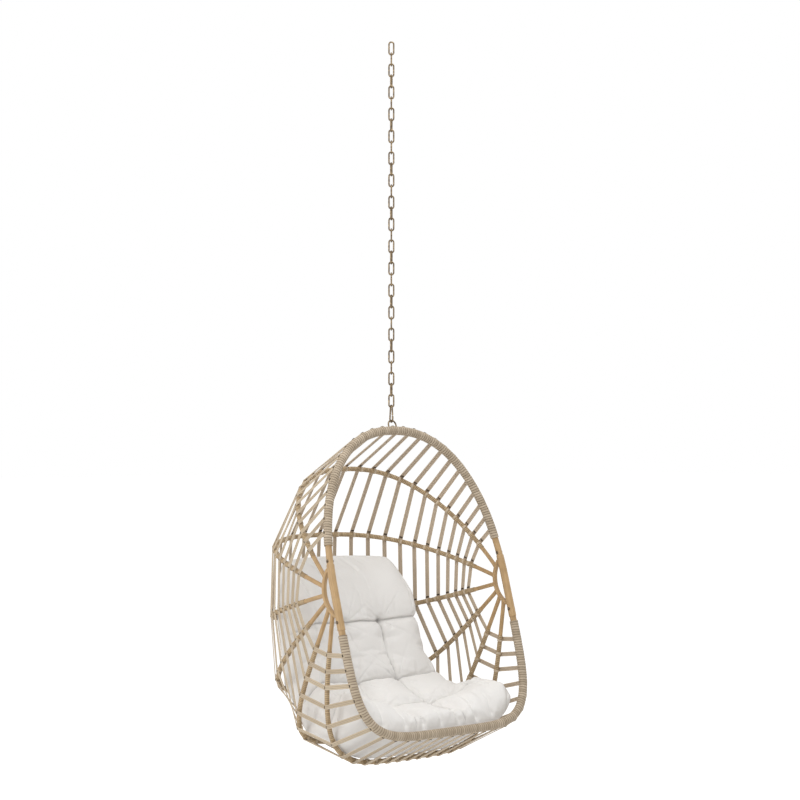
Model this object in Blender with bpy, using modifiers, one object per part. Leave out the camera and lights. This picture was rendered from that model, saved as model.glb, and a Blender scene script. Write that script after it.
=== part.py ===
"""Hanging egg chair: a strapped basket on a snap hook and a chain of long links.

Every separate piece is one closed solid in its own object. Units are metres, +Z is up,
the mouth of the basket faces -Y, and the origin is the inner crown of the top link.

Places on the basket are worked out in the hub frame: its origin is midway between the two
hub brackets, X runs from hub to hub, Y points to the back and Z lies in the rim's plane.
An arch lies in a plane through the X axis, at an angle measured from Y towards Z, so a
flat outline of (x, reach) points turned about X by that angle gives it.
"""

import math

import bmesh
import bpy
from mathutils import Matrix, Vector

COLLECTION_NAME = "hanging_egg_chair"
CLEARANCE = 0.0003  # gap kept between pieces that touch on the real chair

# Chain of long links
LINK_COUNT = 33
LINK_WIRE = 0.006
LINK_PITCH = 0.042
LINK_ROOM = 0.006  # of its opening over the wire that passes through it, across
LINK_YAWS = (-41.0, 49.0, -41.0, 36.0)  # degrees, the chain's twist, repeated
LINK_ARC_SEGMENTS = 4
LINK_CLEARANCE = 0.0005  # between links that swing on each other

# Pear-shaped snap hook
HOOK_WIRE = 0.006
HOOK_LENGTH = 0.070
HOOK_EYE_ROOM = 0.0015  # over the two wires that cross in its narrow end
HOOK_BOTTOM_RADIUS = 0.0135
HOOK_YAW = 72.0
EYE_CLEARANCE = 0.0012  # where wires cross askew in the hook
GATE_START = 0.18  # shares of the hook's left side, from its top
GATE_END = 0.78
LUG_RADIUS = 0.0024
LUG_THICKNESS = 0.0026
PIN_RADIUS = 0.0009
PIN_LENGTH = 0.0064
SPRING_WIRE = 0.0005
SPRING_RADIUS = 0.0010
SPRING_TURNS = 5
SPRING_PITCH = 0.0018

# Rod loop on top of the rim
LOOP_WIRE = 0.006
LOOP_WIDTH = 0.043
LOOP_CLEARANCE = 0.0006  # between its crown and the hook
LOOP_HEIGHT = 0.0408  # from the rod's crown to the rim tube's centre, both on centre lines

# Rim: two hoops of tube with a wicker sleeve each
BASKET_LEAN = 16.4  # degrees, the angle at which the basket balances, lower rim forward
RIM_HALF_WIDTH = 0.427
RIM_RISE = 0.605  # from the hub axis to the tube's centre at the top
RIM_DROP = 0.545
RIM_TOP_SQUARENESS = 2.28  # superellipse exponents
RIM_BOTTOM_SQUARENESS = 5.2
RIM_TOP_SEGMENTS = 12  # in a quarter of the hoop
RIM_BOTTOM_SEGMENTS = 15
TUBE_RADIUS = 0.0125
TUBE_WALL = 0.0015
TUBE_SIDES = 8
WRAP_DEPTH = 0.0055  # of the wicker over the tube
UPPER_WRAP_START = 0.172  # distances along the rim from the hub axis
LOWER_WRAP_START = 0.158

# Hub brackets
POST_WALL = 0.002  # over the tube that it takes
POST_TOP = 0.102
POST_BOTTOM = 0.140
SPIGOT_LENGTH = 0.050
SOCKET_DEPTH = 0.060
SPIGOT_WALL = 0.00155
BOW_DEPTH = 0.058  # how far the bow's centre line stands behind the post's
BOW_HALF_HEIGHT = 0.092
BOW_BAR = 0.012
BOW_THICKNESS = 0.018
BOW_SEGMENTS = 16
RIVET_RISE = 0.012  # over the post's top
BOLT_RISE = 0.030  # over the post's lower end
SHANK_RADIUS = 0.0025
HEAD_RADIUS = 0.0048
HEAD_HEIGHT = 0.0026

# Arches: angle in degrees, reach behind the hub axis, squareness
ARCHES = (
    (60.3, 0.6225, 2.35),
    (31.9, 0.631, 2.6),
    (2.3, 0.642, 2.6),
    (-24.3, 0.654, 3.8),
    (-46.9, 0.663, 5.2),
    (-65.9, 0.653, 4.4),
)
ARCH_RADIUS = 0.010
ARCH_BARE_RADIUS = 0.0085
ARCH_BARE_LENGTH = 0.120
ARCH_ROOT = 0.055  # reach at which an arch's outline starts, inside the bow
ARCH_SEGMENTS = 24

# Straps: (share of the half length where the outermost strap lies, bulge of the spacing)
STRAPS_A_SIDE = 12
STRAP_WIDTH = 0.014
STRAP_THICKNESS = 0.003
STRAP_SEAT = 0.0035  # half of the flat length that lies on an arch
RIM_SPACING = (0.738, 0.0)
ARCH_SPACINGS = (
    (0.816, 0.21),
    (0.818, 0.40),
    (0.802, 0.50),
    (0.823, 0.54),
    (0.80, -0.2),
    (0.80, -0.2),
)
# Each strand: its straps in order, with the rim along which it runs on to the next strap
STRANDS = {
    "left_outer_weave_strand": ((-12, "lower"), (-11, "upper"), (-10, "lower"), (-9, "upper"), (-8, None)),
    "left_inner_weave_strand": ((-7, "lower"), (-6, "upper"), (-5, "lower"), (-4, "upper"), (-3, None)),
    "middle_weave_strand": ((-2, "upper"), (-1, "lower"), (0, "lower"), (1, "upper"), (2, None)),
    "right_inner_weave_strand": ((3, "upper"), (4, "lower"), (5, "upper"), (6, "lower"), (7, None)),
    "right_outer_weave_strand": ((8, "upper"), (9, "lower"), (10, "upper"), (11, "lower"), (12, None)),
}

# Cushion
CUSHION_ACROSS = 12  # faces across, along and through
CUSHION_ALONG = 20
CUSHION_THROUGH = 2
SEAM_ROWS = (5, 9, 14)  # rows of faces from the front after which a seam runs across
SEAM_COLUMN = 2  # columns from the middle at which seams run along, up to the last row
CUSHION_CLEARANCE = 0.0003  # its back to the bars that it lies on, at the faces' corners
# (angle in degrees in the hub frame, half width, depth) at the front edge, the rows and the top
CUSHION_STATIONS = (
    (-84.0, 0.374, 0.100),
    (-58.8, 0.374, 0.195),
    (-36.9, 0.358, 0.220),
    (-4.8, 0.322, 0.275),
    (24.0, 0.312, 0.165),
)
CUSHION_EDGE = 0.55  # share of the depth left at the edge
CUSHION_SIDE_BULGE = 0.012
CUSHION_TAPER = 0.09  # share by which the front is narrower than the back
SEAM_DEPTH = 0.028
TUFT_DEPTH = 0.046
SEAM_PINCH = 0.014  # how far a seam draws the sides in
COVER_THICKNESS = 0.0092  # the cover's cloth and batting, which carry the cushion's weight
SLIT_WIDTH = 0.30  # the cover's opening, across its back
SLIT_HEIGHT = 0.005
SLIT_ANGLE = -30.0

# Looks: base colour, roughness, metallic
BRONZE = ((0.20, 0.14, 0.08), 0.42, 0.9)
STRAW_PAINT = ((0.60, 0.41, 0.19), 0.45, 0.1)
RIM_WICKER = ((0.38, 0.31, 0.22), 0.6, 0.0)
ARCH_WICKER = ((0.36, 0.25, 0.14), 0.6, 0.0)
STRAP_WICKER = ((0.41, 0.33, 0.23), 0.6, 0.0)
OFF_WHITE_CLOTH = ((0.80, 0.79, 0.77), 0.9, 0.0)

# Derived sizes
LINK_WIDTH = 3 * LINK_WIRE + LINK_ROOM
HOOK_TOP_RADIUS = (LINK_WIRE + HOOK_WIRE) / 2 + HOOK_EYE_ROOM  # of the wire's centre line
WRAP_RADIUS = TUBE_RADIUS + WRAP_DEPTH
POST_RADIUS = TUBE_RADIUS + POST_WALL
FLAT = math.cos(math.pi / TUBE_SIDES)  # a polygonal tube's flat over its corner radius
LINK_INNER = LINK_PITCH + LINK_CLEARANCE
LINK_DROP = LINK_INNER / 2 - LINK_WIRE / 2 - LINK_CLEARANCE  # hinge to the link's centre
LAST_WIRE_Z = -LINK_INNER - LINK_WIRE / 2 - (LINK_COUNT - 1) * LINK_PITCH
HOOK_CROWN_Z = (LINK_WIRE + HOOK_WIRE) / 2 + EYE_CLEARANCE  # over the hinge in the last link
HOOK_TOP_CENTRE_Z = HOOK_CROWN_Z - HOOK_TOP_RADIUS
HOOK_FOOT_Z = HOOK_CROWN_Z - (HOOK_LENGTH - HOOK_WIRE)
HOOK_BOTTOM_CENTRE_Z = HOOK_FOOT_Z + HOOK_BOTTOM_RADIUS
BASKET_PIVOT_Z = LAST_WIRE_Z + HOOK_FOOT_Z + (HOOK_WIRE + LOOP_WIRE) / 2 + LOOP_CLEARANCE
TUBE_BORE_RADIUS = TUBE_RADIUS - TUBE_WALL / FLAT
SOCKET_RADIUS = TUBE_RADIUS + CLEARANCE / FLAT
SPIGOT_RADIUS = TUBE_BORE_RADIUS - CLEARANCE / FLAT
POST_BORE = SPIGOT_RADIUS - SPIGOT_WALL
WRAP_WALL = (WRAP_RADIUS - TUBE_RADIUS) * FLAT - CLEARANCE
BOW_RADIUS = (BOW_HALF_HEIGHT**2 + BOW_DEPTH**2) / (2 * BOW_DEPTH)
BOW_CENTRE_Y = BOW_DEPTH - BOW_RADIUS
HUB = Vector((0, 0, -LOOP_HEIGHT - RIM_RISE))


# Scene and object helpers


def clear_scene():
    """Remove every object and collection that a new file starts with."""
    for obj in list(bpy.data.objects):
        bpy.data.objects.remove(obj)
    for collection in list(bpy.data.collections):
        bpy.data.collections.remove(collection)


def new_collection(name):
    """Return a new collection in the scene."""
    collection = bpy.data.collections.new(name)
    bpy.context.scene.collection.children.link(collection)
    return collection


def new_material(name, look):
    """Return a material for one piece, from (base colour, roughness, metallic)."""
    colour, roughness, metallic = look
    material = bpy.data.materials.new(name)
    material.use_nodes = True
    material.diffuse_color = (*colour, 1.0)
    shader = material.node_tree.nodes["Principled BSDF"]
    shader.inputs["Base Color"].default_value = (*colour, 1.0)
    shader.inputs["Roughness"].default_value = roughness
    shader.inputs["Metallic"].default_value = metallic
    return material


def add_object(name, data, collection, look=None, parent=None, location=(0, 0, 0)):
    """Put mesh or curve data into the scene as one object."""
    obj = bpy.data.objects.new(name, data)
    collection.objects.link(obj)
    obj.parent = parent
    obj.location = location
    if look and not data.materials:
        data.materials.append(new_material(name, look))
    return obj


def add_empty(name, collection, location, parent=None):
    """Return an empty that marks a joint."""
    empty = add_object(name, None, collection, parent=parent, location=location)
    empty.empty_display_size = 0.05
    return empty


def shade_smooth(mesh):
    """Shade round faces smooth, and keep edges over 40 degrees sharp."""
    mesh.shade_smooth()
    mesh.set_sharp_from_angle(angle=math.radians(40))


def mesh_from_bmesh(name, bm, smooth=True):
    """Turn a bmesh into a mesh with its faces pointing out."""
    bmesh.ops.recalc_face_normals(bm, faces=bm.faces)
    mesh = bpy.data.meshes.new(name)
    bm.to_mesh(mesh)
    bm.free()
    if smooth:
        shade_smooth(mesh)
    return mesh


def round_bar_curve(name, points, radius, sides=TUBE_SIDES, caps=True, flat=True, radii=None, cyclic=False):
    """Return curve data for a round bar or tube along straight stretches between points."""
    curve = bpy.data.curves.new(name, "CURVE")
    curve.dimensions = "2D" if flat else "3D"
    curve.fill_mode = "NONE" if flat else "FULL"
    curve.bevel_depth = radius
    curve.bevel_resolution = sides // 2 - 2
    curve.use_fill_caps = caps
    spline = curve.splines.new("POLY")
    spline.points.add(len(points) - 1)
    spline.use_cyclic_u = cyclic
    for number, point in enumerate(points):
        spline.points[number].co = (*Vector(point).to_3d(), 1.0)
        spline.points[number].radius = radii[number] if radii else 1.0
    return curve


def mesh_from_curve(name, curve):
    """Turn curve data into welded mesh data."""
    holder = bpy.data.objects.new(name, curve)
    bpy.context.scene.collection.objects.link(holder)
    evaluated = holder.evaluated_get(bpy.context.evaluated_depsgraph_get())
    mesh = bpy.data.meshes.new_from_object(evaluated)
    bpy.data.objects.remove(holder)
    bpy.data.curves.remove(curve)
    bm = bmesh.new()
    bm.from_mesh(mesh)
    bpy.data.meshes.remove(mesh)
    bmesh.ops.remove_doubles(bm, verts=bm.verts, dist=0.00001)
    return mesh_from_bmesh(name, bm)


def round_bar_mesh(name, points, radius, **options):
    """Return mesh data for a round bar or tube along the points."""
    return mesh_from_curve(name, round_bar_curve(name, points, radius, **options))


def cylinder_mesh(name, radius, length, segments=24):
    """Return a cylinder along X, centred on its origin."""
    bm = bmesh.new()
    bmesh.ops.create_cone(
        bm,
        cap_ends=True,
        segments=segments,
        radius1=radius,
        radius2=radius,
        depth=length,
        matrix=Matrix.Rotation(math.pi / 2, 4, "Y"),
    )
    return mesh_from_bmesh(name, bm)


def box_mesh(name, size):
    """Return a box centred on its origin."""
    bm = bmesh.new()
    bmesh.ops.create_cube(bm, size=1, matrix=Matrix.Diagonal((*size, 1)))
    return mesh_from_bmesh(name, bm, smooth=False)


def boolean(obj, operation, tool):
    """Cut obj with tool, or join tool to it, and keep the tool out of the model."""
    modifier = obj.modifiers.new(f"{operation.lower()}_{tool.name}", "BOOLEAN")
    modifier.operation = operation
    modifier.solver = "EXACT"
    modifier.object = tool
    tool.hide_render = True
    tool.display_type = "WIRE"


def solidify(obj, thickness, offset):
    """Give an open surface its thickness: offset -1 grows inwards, 0 both ways."""
    modifier = obj.modifiers.new("thickness", "SOLIDIFY")
    modifier.thickness = thickness
    modifier.offset = offset
    modifier.use_even_offset = True
    return modifier


# Outlines: lists of points in a plane


def arc_points(centre, radius, start, end, segments):
    """Points on an arc, angles in degrees from the first axis."""
    turns = [math.radians(start + (end - start) * step / segments) for step in range(segments + 1)]
    return [Vector(centre) + radius * Vector((math.cos(turn), math.sin(turn))) for turn in turns]


def lengths_along(points):
    """The length from the first point to each point."""
    lengths = [0.0]
    for first, second in zip(points, points[1:]):
        lengths.append(lengths[-1] + (second - first).length)
    return lengths


def point_at(points, distance):
    """(point, unit direction) at a length along straight stretches between points."""
    lengths = lengths_along(points)
    number = 1
    while number < len(points) - 1 and lengths[number] < distance:
        number += 1
    first, second = points[number - 1], points[number]
    share = (distance - lengths[number - 1]) / (lengths[number] - lengths[number - 1])
    return first.lerp(second, share), (second - first).normalized()


def stretch_of(points, start, end):
    """The points between two lengths along a line, with the two ends."""
    inner = [point for point, length in zip(points, lengths_along(points)) if start < length < end]
    return [point_at(points, start)[0], *inner, point_at(points, end)[0]]


def superellipse_quarter(half_width, root, reach, squareness, segments):
    """Equally spaced points from (half_width, root) to (0, reach)."""
    fine = []
    fine_steps = 40 * segments
    for step in range(fine_steps + 1):
        turn = math.pi / 2 * step / fine_steps
        across, along = math.cos(turn), math.sin(turn)
        scale = (across**squareness + along**squareness) ** (-1 / squareness)
        fine.append(Vector((half_width * scale * across, root + (reach - root) * scale * along)))
    total = lengths_along(fine)[-1]
    lengths = lengths_along(fine)
    quarter = []
    number = 1
    for step in range(segments + 1):
        distance = total * step / segments
        while number < fine_steps and lengths[number] < distance:
            number += 1
        share = (distance - lengths[number - 1]) / (lengths[number] - lengths[number - 1])
        quarter.append(fine[number - 1].lerp(fine[number], share))
    return quarter


def mirrored(point):
    """The point on the other side of the middle plane."""
    return Vector((-point.x, point.y))


def arch_outline(reach, squareness):
    """(x, reach) points of a whole arch, from the left hub to the right hub."""
    half = superellipse_quarter(RIM_HALF_WIDTH, ARCH_ROOT, reach, squareness, ARCH_SEGMENTS // 2)
    return [mirrored(point) for point in half] + half[-2::-1]


def rim_outline():
    """(x, z) points of the whole rim from the left hub over the top, and its upper half's length."""
    top = superellipse_quarter(RIM_HALF_WIDTH, 0, RIM_RISE, RIM_TOP_SQUARENESS, RIM_TOP_SEGMENTS)
    drop = superellipse_quarter(RIM_HALF_WIDTH, 0, RIM_DROP, RIM_BOTTOM_SQUARENESS, RIM_BOTTOM_SEGMENTS)
    bottom = [Vector((point.x, -point.y)) for point in drop]
    upper = [mirrored(point) for point in top] + top[-2::-1]
    lower = bottom[1:] + [mirrored(point) for point in bottom[-2::-1]]
    return upper + lower, lengths_along(upper)[-1]


def rim_stretch(start, end):
    """Rim points between two lengths, measured from the left hub upwards; they may pass 0."""
    loop, _ = rim_outline()
    twice = loop[:-1] + loop
    whole = lengths_along(loop)[-1]
    shift = whole if start < 0 else 0
    return stretch_of(twice, start + shift, end + shift)


# Chain


def link_mesh():
    """A long link in its XZ plane, hung from its hinge in the link above."""
    arc_radius = (LINK_WIDTH - LINK_WIRE) / 2
    straight = LINK_INNER / 2 + LINK_WIRE / 2 - arc_radius
    upper = arc_points((0, straight - LINK_DROP), arc_radius, 0, 180, LINK_ARC_SEGMENTS)
    lower = arc_points((0, -straight - LINK_DROP), arc_radius, 180, 360, LINK_ARC_SEGMENTS)
    options = {"sides": 6, "caps": False, "flat": False, "cyclic": True}
    return turned_upright(round_bar_mesh("chain_link", upper + lower, LINK_WIRE / 2, **options))


def build_chain(collection):
    """Hang every link on the one above, a quarter turn or so round from it."""
    mesh = link_mesh()
    above = None
    yaw_above = 0.0
    for number in range(LINK_COUNT):
        yaw = LINK_YAWS[number % len(LINK_YAWS)]
        height = -LINK_PITCH if above else LINK_DROP - LINK_INNER / 2
        link = add_object(f"chain_link_{number + 1:02d}", mesh, collection, BRONZE, above, (0, 0, height))
        link.rotation_euler.z = math.radians(yaw - yaw_above)
        above, yaw_above = link, yaw
    return above, yaw_above


# Snap hook, in its own XZ plane: the load hangs along -Z and the gate is on the -X side


def hook_side():
    """The two ends of the straight left side, from the narrow end to the wide end."""
    rise = HOOK_TOP_CENTRE_Z - HOOK_BOTTOM_CENTRE_Z
    lean = math.asin((HOOK_BOTTOM_RADIUS - HOOK_TOP_RADIUS) / rise)
    outward = Vector((-math.cos(lean), math.sin(lean)))
    top = Vector((0, HOOK_TOP_CENTRE_Z)) + HOOK_TOP_RADIUS * outward
    bottom = Vector((0, HOOK_BOTTOM_CENTRE_Z)) + HOOK_BOTTOM_RADIUS * outward
    return top, bottom, math.degrees(lean)


def gate_line():
    """The gate's pivot and free end, and the direction from one to the other."""
    top, bottom, _ = hook_side()
    pivot, end = top.lerp(bottom, GATE_START), top.lerp(bottom, GATE_END)
    return pivot, end, (end - pivot).normalized()


def upright(point, depth=0.0):
    """A point of the hook's outline in 3D."""
    return Vector((point.x, depth, point.y))


def turned_upright(mesh):
    """Stand a mesh made in the XY plane up in the XZ plane."""
    mesh.transform(Matrix.Rotation(math.pi / 2, 4, "X"))
    return mesh


def cross_cylinder(name, radius, length, collection, parent, place, segments=16):
    """A cylinder across the hook's plane at a place on its outline."""
    mesh = cylinder_mesh(name, radius, length, segments)
    mesh.transform(Matrix.Rotation(math.pi / 2, 4, "Z"))
    return add_object(name, mesh, collection, BRONZE, parent, place)


def build_hook_body(collection, cutters, hook):
    """The bent wire with the flat tongue that the gate turns on."""
    pivot, end, along = gate_line()
    _, _, lean = hook_side()
    wire_start = pivot - along * (LUG_RADIUS + CLEARANCE)
    top_arc = arc_points((0, HOOK_TOP_CENTRE_Z), HOOK_TOP_RADIUS, 180 - lean, lean, 6)
    bottom_arc = arc_points((0, HOOK_BOTTOM_CENTRE_Z), HOOK_BOTTOM_RADIUS, lean, -180 - lean, 10)
    path = [wire_start, *top_arc, *bottom_arc, end + along * CLEARANCE]
    mesh = turned_upright(round_bar_mesh("snap_hook_body", path, HOOK_WIRE / 2, flat=False))
    body = add_object("snap_hook_body", mesh, collection, BRONZE, hook)
    tongue = box_mesh("hook_tongue", (2 * LUG_RADIUS, LUG_THICKNESS, 2 * LUG_RADIUS))
    tongue_object = add_object("hook_tongue", tongue, cutters, None, hook, upright(pivot - along * LUG_RADIUS))
    tongue_object.rotation_euler.y = math.atan2(-along.x, -along.y)
    lug = cross_cylinder("hook_lug", LUG_RADIUS, LUG_THICKNESS, cutters, hook, upright(pivot))
    pin_hole = cross_cylinder(
        "hook_pin_hole", PIN_RADIUS + CLEARANCE, PIN_LENGTH * 2, cutters, hook, upright(pivot), 12
    )
    boolean(body, "UNION", tongue_object)
    boolean(body, "UNION", lug)
    boolean(body, "DIFFERENCE", pin_hole)


def build_gate(collection, cutters, gate_pivot):
    """The spring gate: a round bar with a forked end round the tongue and a bore for its spring."""
    pivot, end, along = gate_line()
    length = (end - pivot).length
    path = [Vector((0, 0)), along * length]
    mesh = turned_upright(round_bar_mesh("snap_hook_gate", path, HOOK_WIRE / 2))
    gate = add_object("snap_hook_gate", mesh, collection, BRONZE, gate_pivot)
    knuckle = cross_cylinder("gate_knuckle", LUG_RADIUS, HOOK_WIRE * 0.9, cutters, gate_pivot, (0, 0, 0))
    slot_depth = LUG_RADIUS + CLEARANCE
    slot = box_mesh("gate_slot", (2 * HOOK_WIRE, LUG_THICKNESS + 2 * CLEARANCE, 2 * slot_depth + HOOK_WIRE))
    slot.transform(Matrix.Translation((0, 0, HOOK_WIRE / 2)))
    slot_object = add_object("gate_slot", slot, cutters, None, gate_pivot)
    slot_object.rotation_euler.y = math.atan2(-along.x, -along.y)
    pin_hole = cross_cylinder(
        "gate_pin_hole", PIN_RADIUS + CLEARANCE, PIN_LENGTH * 2, cutters, gate_pivot, (0, 0, 0), 12
    )
    bore_radius = SPRING_RADIUS + SPRING_WIRE / 2 + CLEARANCE
    bore_end = slot_depth + SPRING_TURNS * SPRING_PITCH + 2 * SPRING_WIRE
    bore = turned_upright(round_bar_mesh("gate_bore", [Vector((0, 0)), along * bore_end], bore_radius))
    bore_object = add_object("gate_bore", bore, cutters, None, gate_pivot)
    for operation, tool in (
        ("UNION", knuckle),
        ("DIFFERENCE", slot_object),
        ("DIFFERENCE", pin_hole),
        ("DIFFERENCE", bore_object),
    ):
        boolean(gate, operation, tool)


def build_gate_spring(collection, gate_pivot):
    """The coil in the gate's bore that presses on the tongue."""
    _, _, along = gate_line()
    axis = upright(along)
    side, across = upright(Vector((along.y, -along.x))), Vector((0, 1, 0))
    start = LUG_RADIUS + CLEARANCE + SPRING_WIRE / 2
    steps = 8 * SPRING_TURNS
    points = []
    for step in range(steps + 1):
        turn = 2 * math.pi * step / 8
        height = start + SPRING_PITCH * SPRING_TURNS * step / steps
        points.append(axis * height + SPRING_RADIUS * (side * math.cos(turn) + across * math.sin(turn)))
    curve = round_bar_curve("snap_hook_spring", points, SPRING_WIRE / 2, sides=4, flat=False)
    mesh = mesh_from_curve("snap_hook_spring", curve)
    add_object("snap_hook_spring", mesh, collection, BRONZE, gate_pivot)


def build_hook(collection, cutters, last_link, last_yaw):
    """Hang the snap hook in the last link, and return its empty."""
    hook = add_empty("snap_hook_hinge", collection, (0, 0, -LINK_PITCH), last_link)
    hook.rotation_euler.z = math.radians(HOOK_YAW - last_yaw)
    pivot, _, _ = gate_line()
    gate_pivot = add_empty("snap_hook_gate_hinge", collection, upright(pivot), hook)
    build_hook_body(collection, cutters, hook)
    build_gate(collection, cutters, gate_pivot)
    build_gate_spring(collection, gate_pivot)
    cross_cylinder("snap_hook_pin", PIN_RADIUS, PIN_LENGTH, collection, hook, upright(pivot), 12)
    return hook


# Rim


def rim_bar(name, start, end, radius, **options):
    """Mesh data of a round bar along a stretch of the rim, in the basket's frame."""
    mesh = turned_upright(round_bar_mesh(name, rim_stretch(start, end), radius, **options))
    mesh.transform(Matrix.Translation(HUB))
    return mesh


def loop_outline():
    """The rod loop's points, down to the rim tube's centre."""
    radius = (LOOP_WIDTH - LOOP_WIRE) / 2
    foot = Vector((radius, -LOOP_HEIGHT))
    crown = arc_points((0, -radius), radius, 0, 180, 8)
    return [foot, *crown, mirrored(foot)]


def build_rim(collection, cutters, basket, upper_length, whole_length):
    """The two hoops of tube with their wicker sleeves, and the rod loop on top."""
    saddle = add_object(
        "loop_saddle",
        rim_bar("loop_saddle", UPPER_WRAP_START, upper_length - UPPER_WRAP_START, SOCKET_RADIUS),
        cutters,
        None,
        basket,
    )
    loop_mesh = turned_upright(round_bar_mesh("hanging_loop", loop_outline(), LOOP_WIRE / 2, flat=False))
    loop = add_object("hanging_loop", loop_mesh, collection, BRONZE, basket)
    boolean(loop, "DIFFERENCE", saddle)
    leg_radius = LOOP_WIRE / 2 + CLEARANCE / FLAT
    leg_mesh = turned_upright(round_bar_mesh("loop_leg_holes", loop_outline(), leg_radius, flat=False))
    leg_holes = add_object("loop_leg_holes", leg_mesh, cutters, None, basket)

    gap = CLEARANCE
    socket_top = POST_BOTTOM - SOCKET_DEPTH + gap
    stretches = {
        "upper_rim_tube": (POST_TOP + gap, upper_length - POST_TOP - gap),
        "lower_rim_tube": (upper_length + socket_top, whole_length - socket_top),
        "upper_rim_wrap": (UPPER_WRAP_START, upper_length - UPPER_WRAP_START),
        "lower_rim_wrap": (upper_length + LOWER_WRAP_START, whole_length - LOWER_WRAP_START),
    }
    pieces = {}
    for name, (start, end) in stretches.items():
        is_tube = name.endswith("tube")
        radius = TUBE_RADIUS if is_tube else WRAP_RADIUS
        mesh = rim_bar(name, start, end, radius, caps=False)
        look = STRAW_PAINT if is_tube else RIM_WICKER
        pieces[name] = add_object(name, mesh, collection, look, basket)
        solidify(pieces[name], TUBE_WALL if is_tube else WRAP_WALL, -1)
    boolean(pieces["upper_rim_wrap"], "DIFFERENCE", leg_holes)
    return pieces


# Hub brackets


def bow_mesh(side):
    """The bowed flat bar behind one post, in the basket's frame."""
    reach = math.degrees(math.acos(-BOW_CENTRE_Y / BOW_RADIUS)) + 5
    centre = (BOW_CENTRE_Y, 0)
    outer = arc_points(centre, BOW_RADIUS + BOW_BAR / 2, -reach, reach, BOW_SEGMENTS)
    inner = arc_points(centre, BOW_RADIUS - BOW_BAR / 2, reach, -reach, BOW_SEGMENTS)
    curve = bpy.data.curves.new("bow", "CURVE")
    curve.dimensions = "2D"
    curve.fill_mode = "BOTH"
    curve.extrude = BOW_THICKNESS / 2
    spline = curve.splines.new("POLY")
    spline.points.add(len(outer + inner) - 1)
    spline.use_cyclic_u = True
    for spot, point in zip(spline.points, outer + inner):
        spot.co = (*point, 0, 1)
    mesh = mesh_from_curve("bow", curve)
    mesh.transform(Matrix.Rotation(math.pi / 2, 4, "Z") @ Matrix.Rotation(math.pi / 2, 4, "X"))
    mesh.transform(Matrix.Translation(HUB + Vector((side * RIM_HALF_WIDTH, 0, 0))))
    return mesh


def fastener_place(side, along_rim):
    """(place, direction out of the basket) of a fastener at a length along the rim."""
    stretch = rim_stretch(along_rim - 0.001, along_rim + 0.001)
    middle = (stretch[0] + stretch[-1]) / 2
    direction = (stretch[-1] - stretch[0]).normalized()
    outward = Vector((direction.y, -direction.x))
    if outward.x * side < 0:
        outward = -outward
    return HUB + upright(middle), upright(outward)


def fastener_mesh(name, barrel_radius):
    """Profile of a round-headed fastener along X, turned about that axis by a Screw modifier."""
    seat = barrel_radius + CLEARANCE
    half_profile = [
        (seat + HEAD_HEIGHT, 0.0),
        (seat + HEAD_HEIGHT * 0.75, HEAD_RADIUS * 0.65),
        (seat + HEAD_HEIGHT * 0.2, HEAD_RADIUS),
        (seat, HEAD_RADIUS),
        (seat, SHANK_RADIUS),
    ]
    profile = half_profile + [(-x, radius) for x, radius in half_profile[::-1]]
    bm = bmesh.new()
    verts = [bm.verts.new((radius, 0, x)) for x, radius in profile]
    for first, second in zip(verts, verts[1:]):
        bm.edges.new((first, second))
    mesh = bpy.data.meshes.new(name)
    bm.to_mesh(mesh)
    bm.free()
    return mesh


def build_fastener(name, side, along_rim, barrel_radius, collection, cutters, basket, drilled):
    """One fastener across the rim, and the hole that it needs in each drilled piece."""
    place, outward = fastener_place(side, along_rim)
    turn = Vector((0, 0, 1)).rotation_difference(outward)
    fastener = add_object(name, fastener_mesh(name, barrel_radius), collection, BRONZE, basket, place)
    fastener.rotation_mode = "QUATERNION"
    fastener.rotation_quaternion = turn
    screw = fastener.modifiers.new("turned", "SCREW")
    screw.axis = "Z"
    screw.steps = 10
    screw.render_steps = 10
    screw.use_merge_vertices = True
    screw.merge_threshold = 0.00001
    hole = add_object(
        f"{name}_hole", cylinder_mesh(name, SHANK_RADIUS + CLEARANCE, 0.08, 12), cutters, None, basket, place
    )
    hole.rotation_mode = "QUATERNION"
    hole.rotation_quaternion = Vector((1, 0, 0)).rotation_difference(outward)
    for piece in drilled:
        boolean(piece, "DIFFERENCE", hole)


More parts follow.
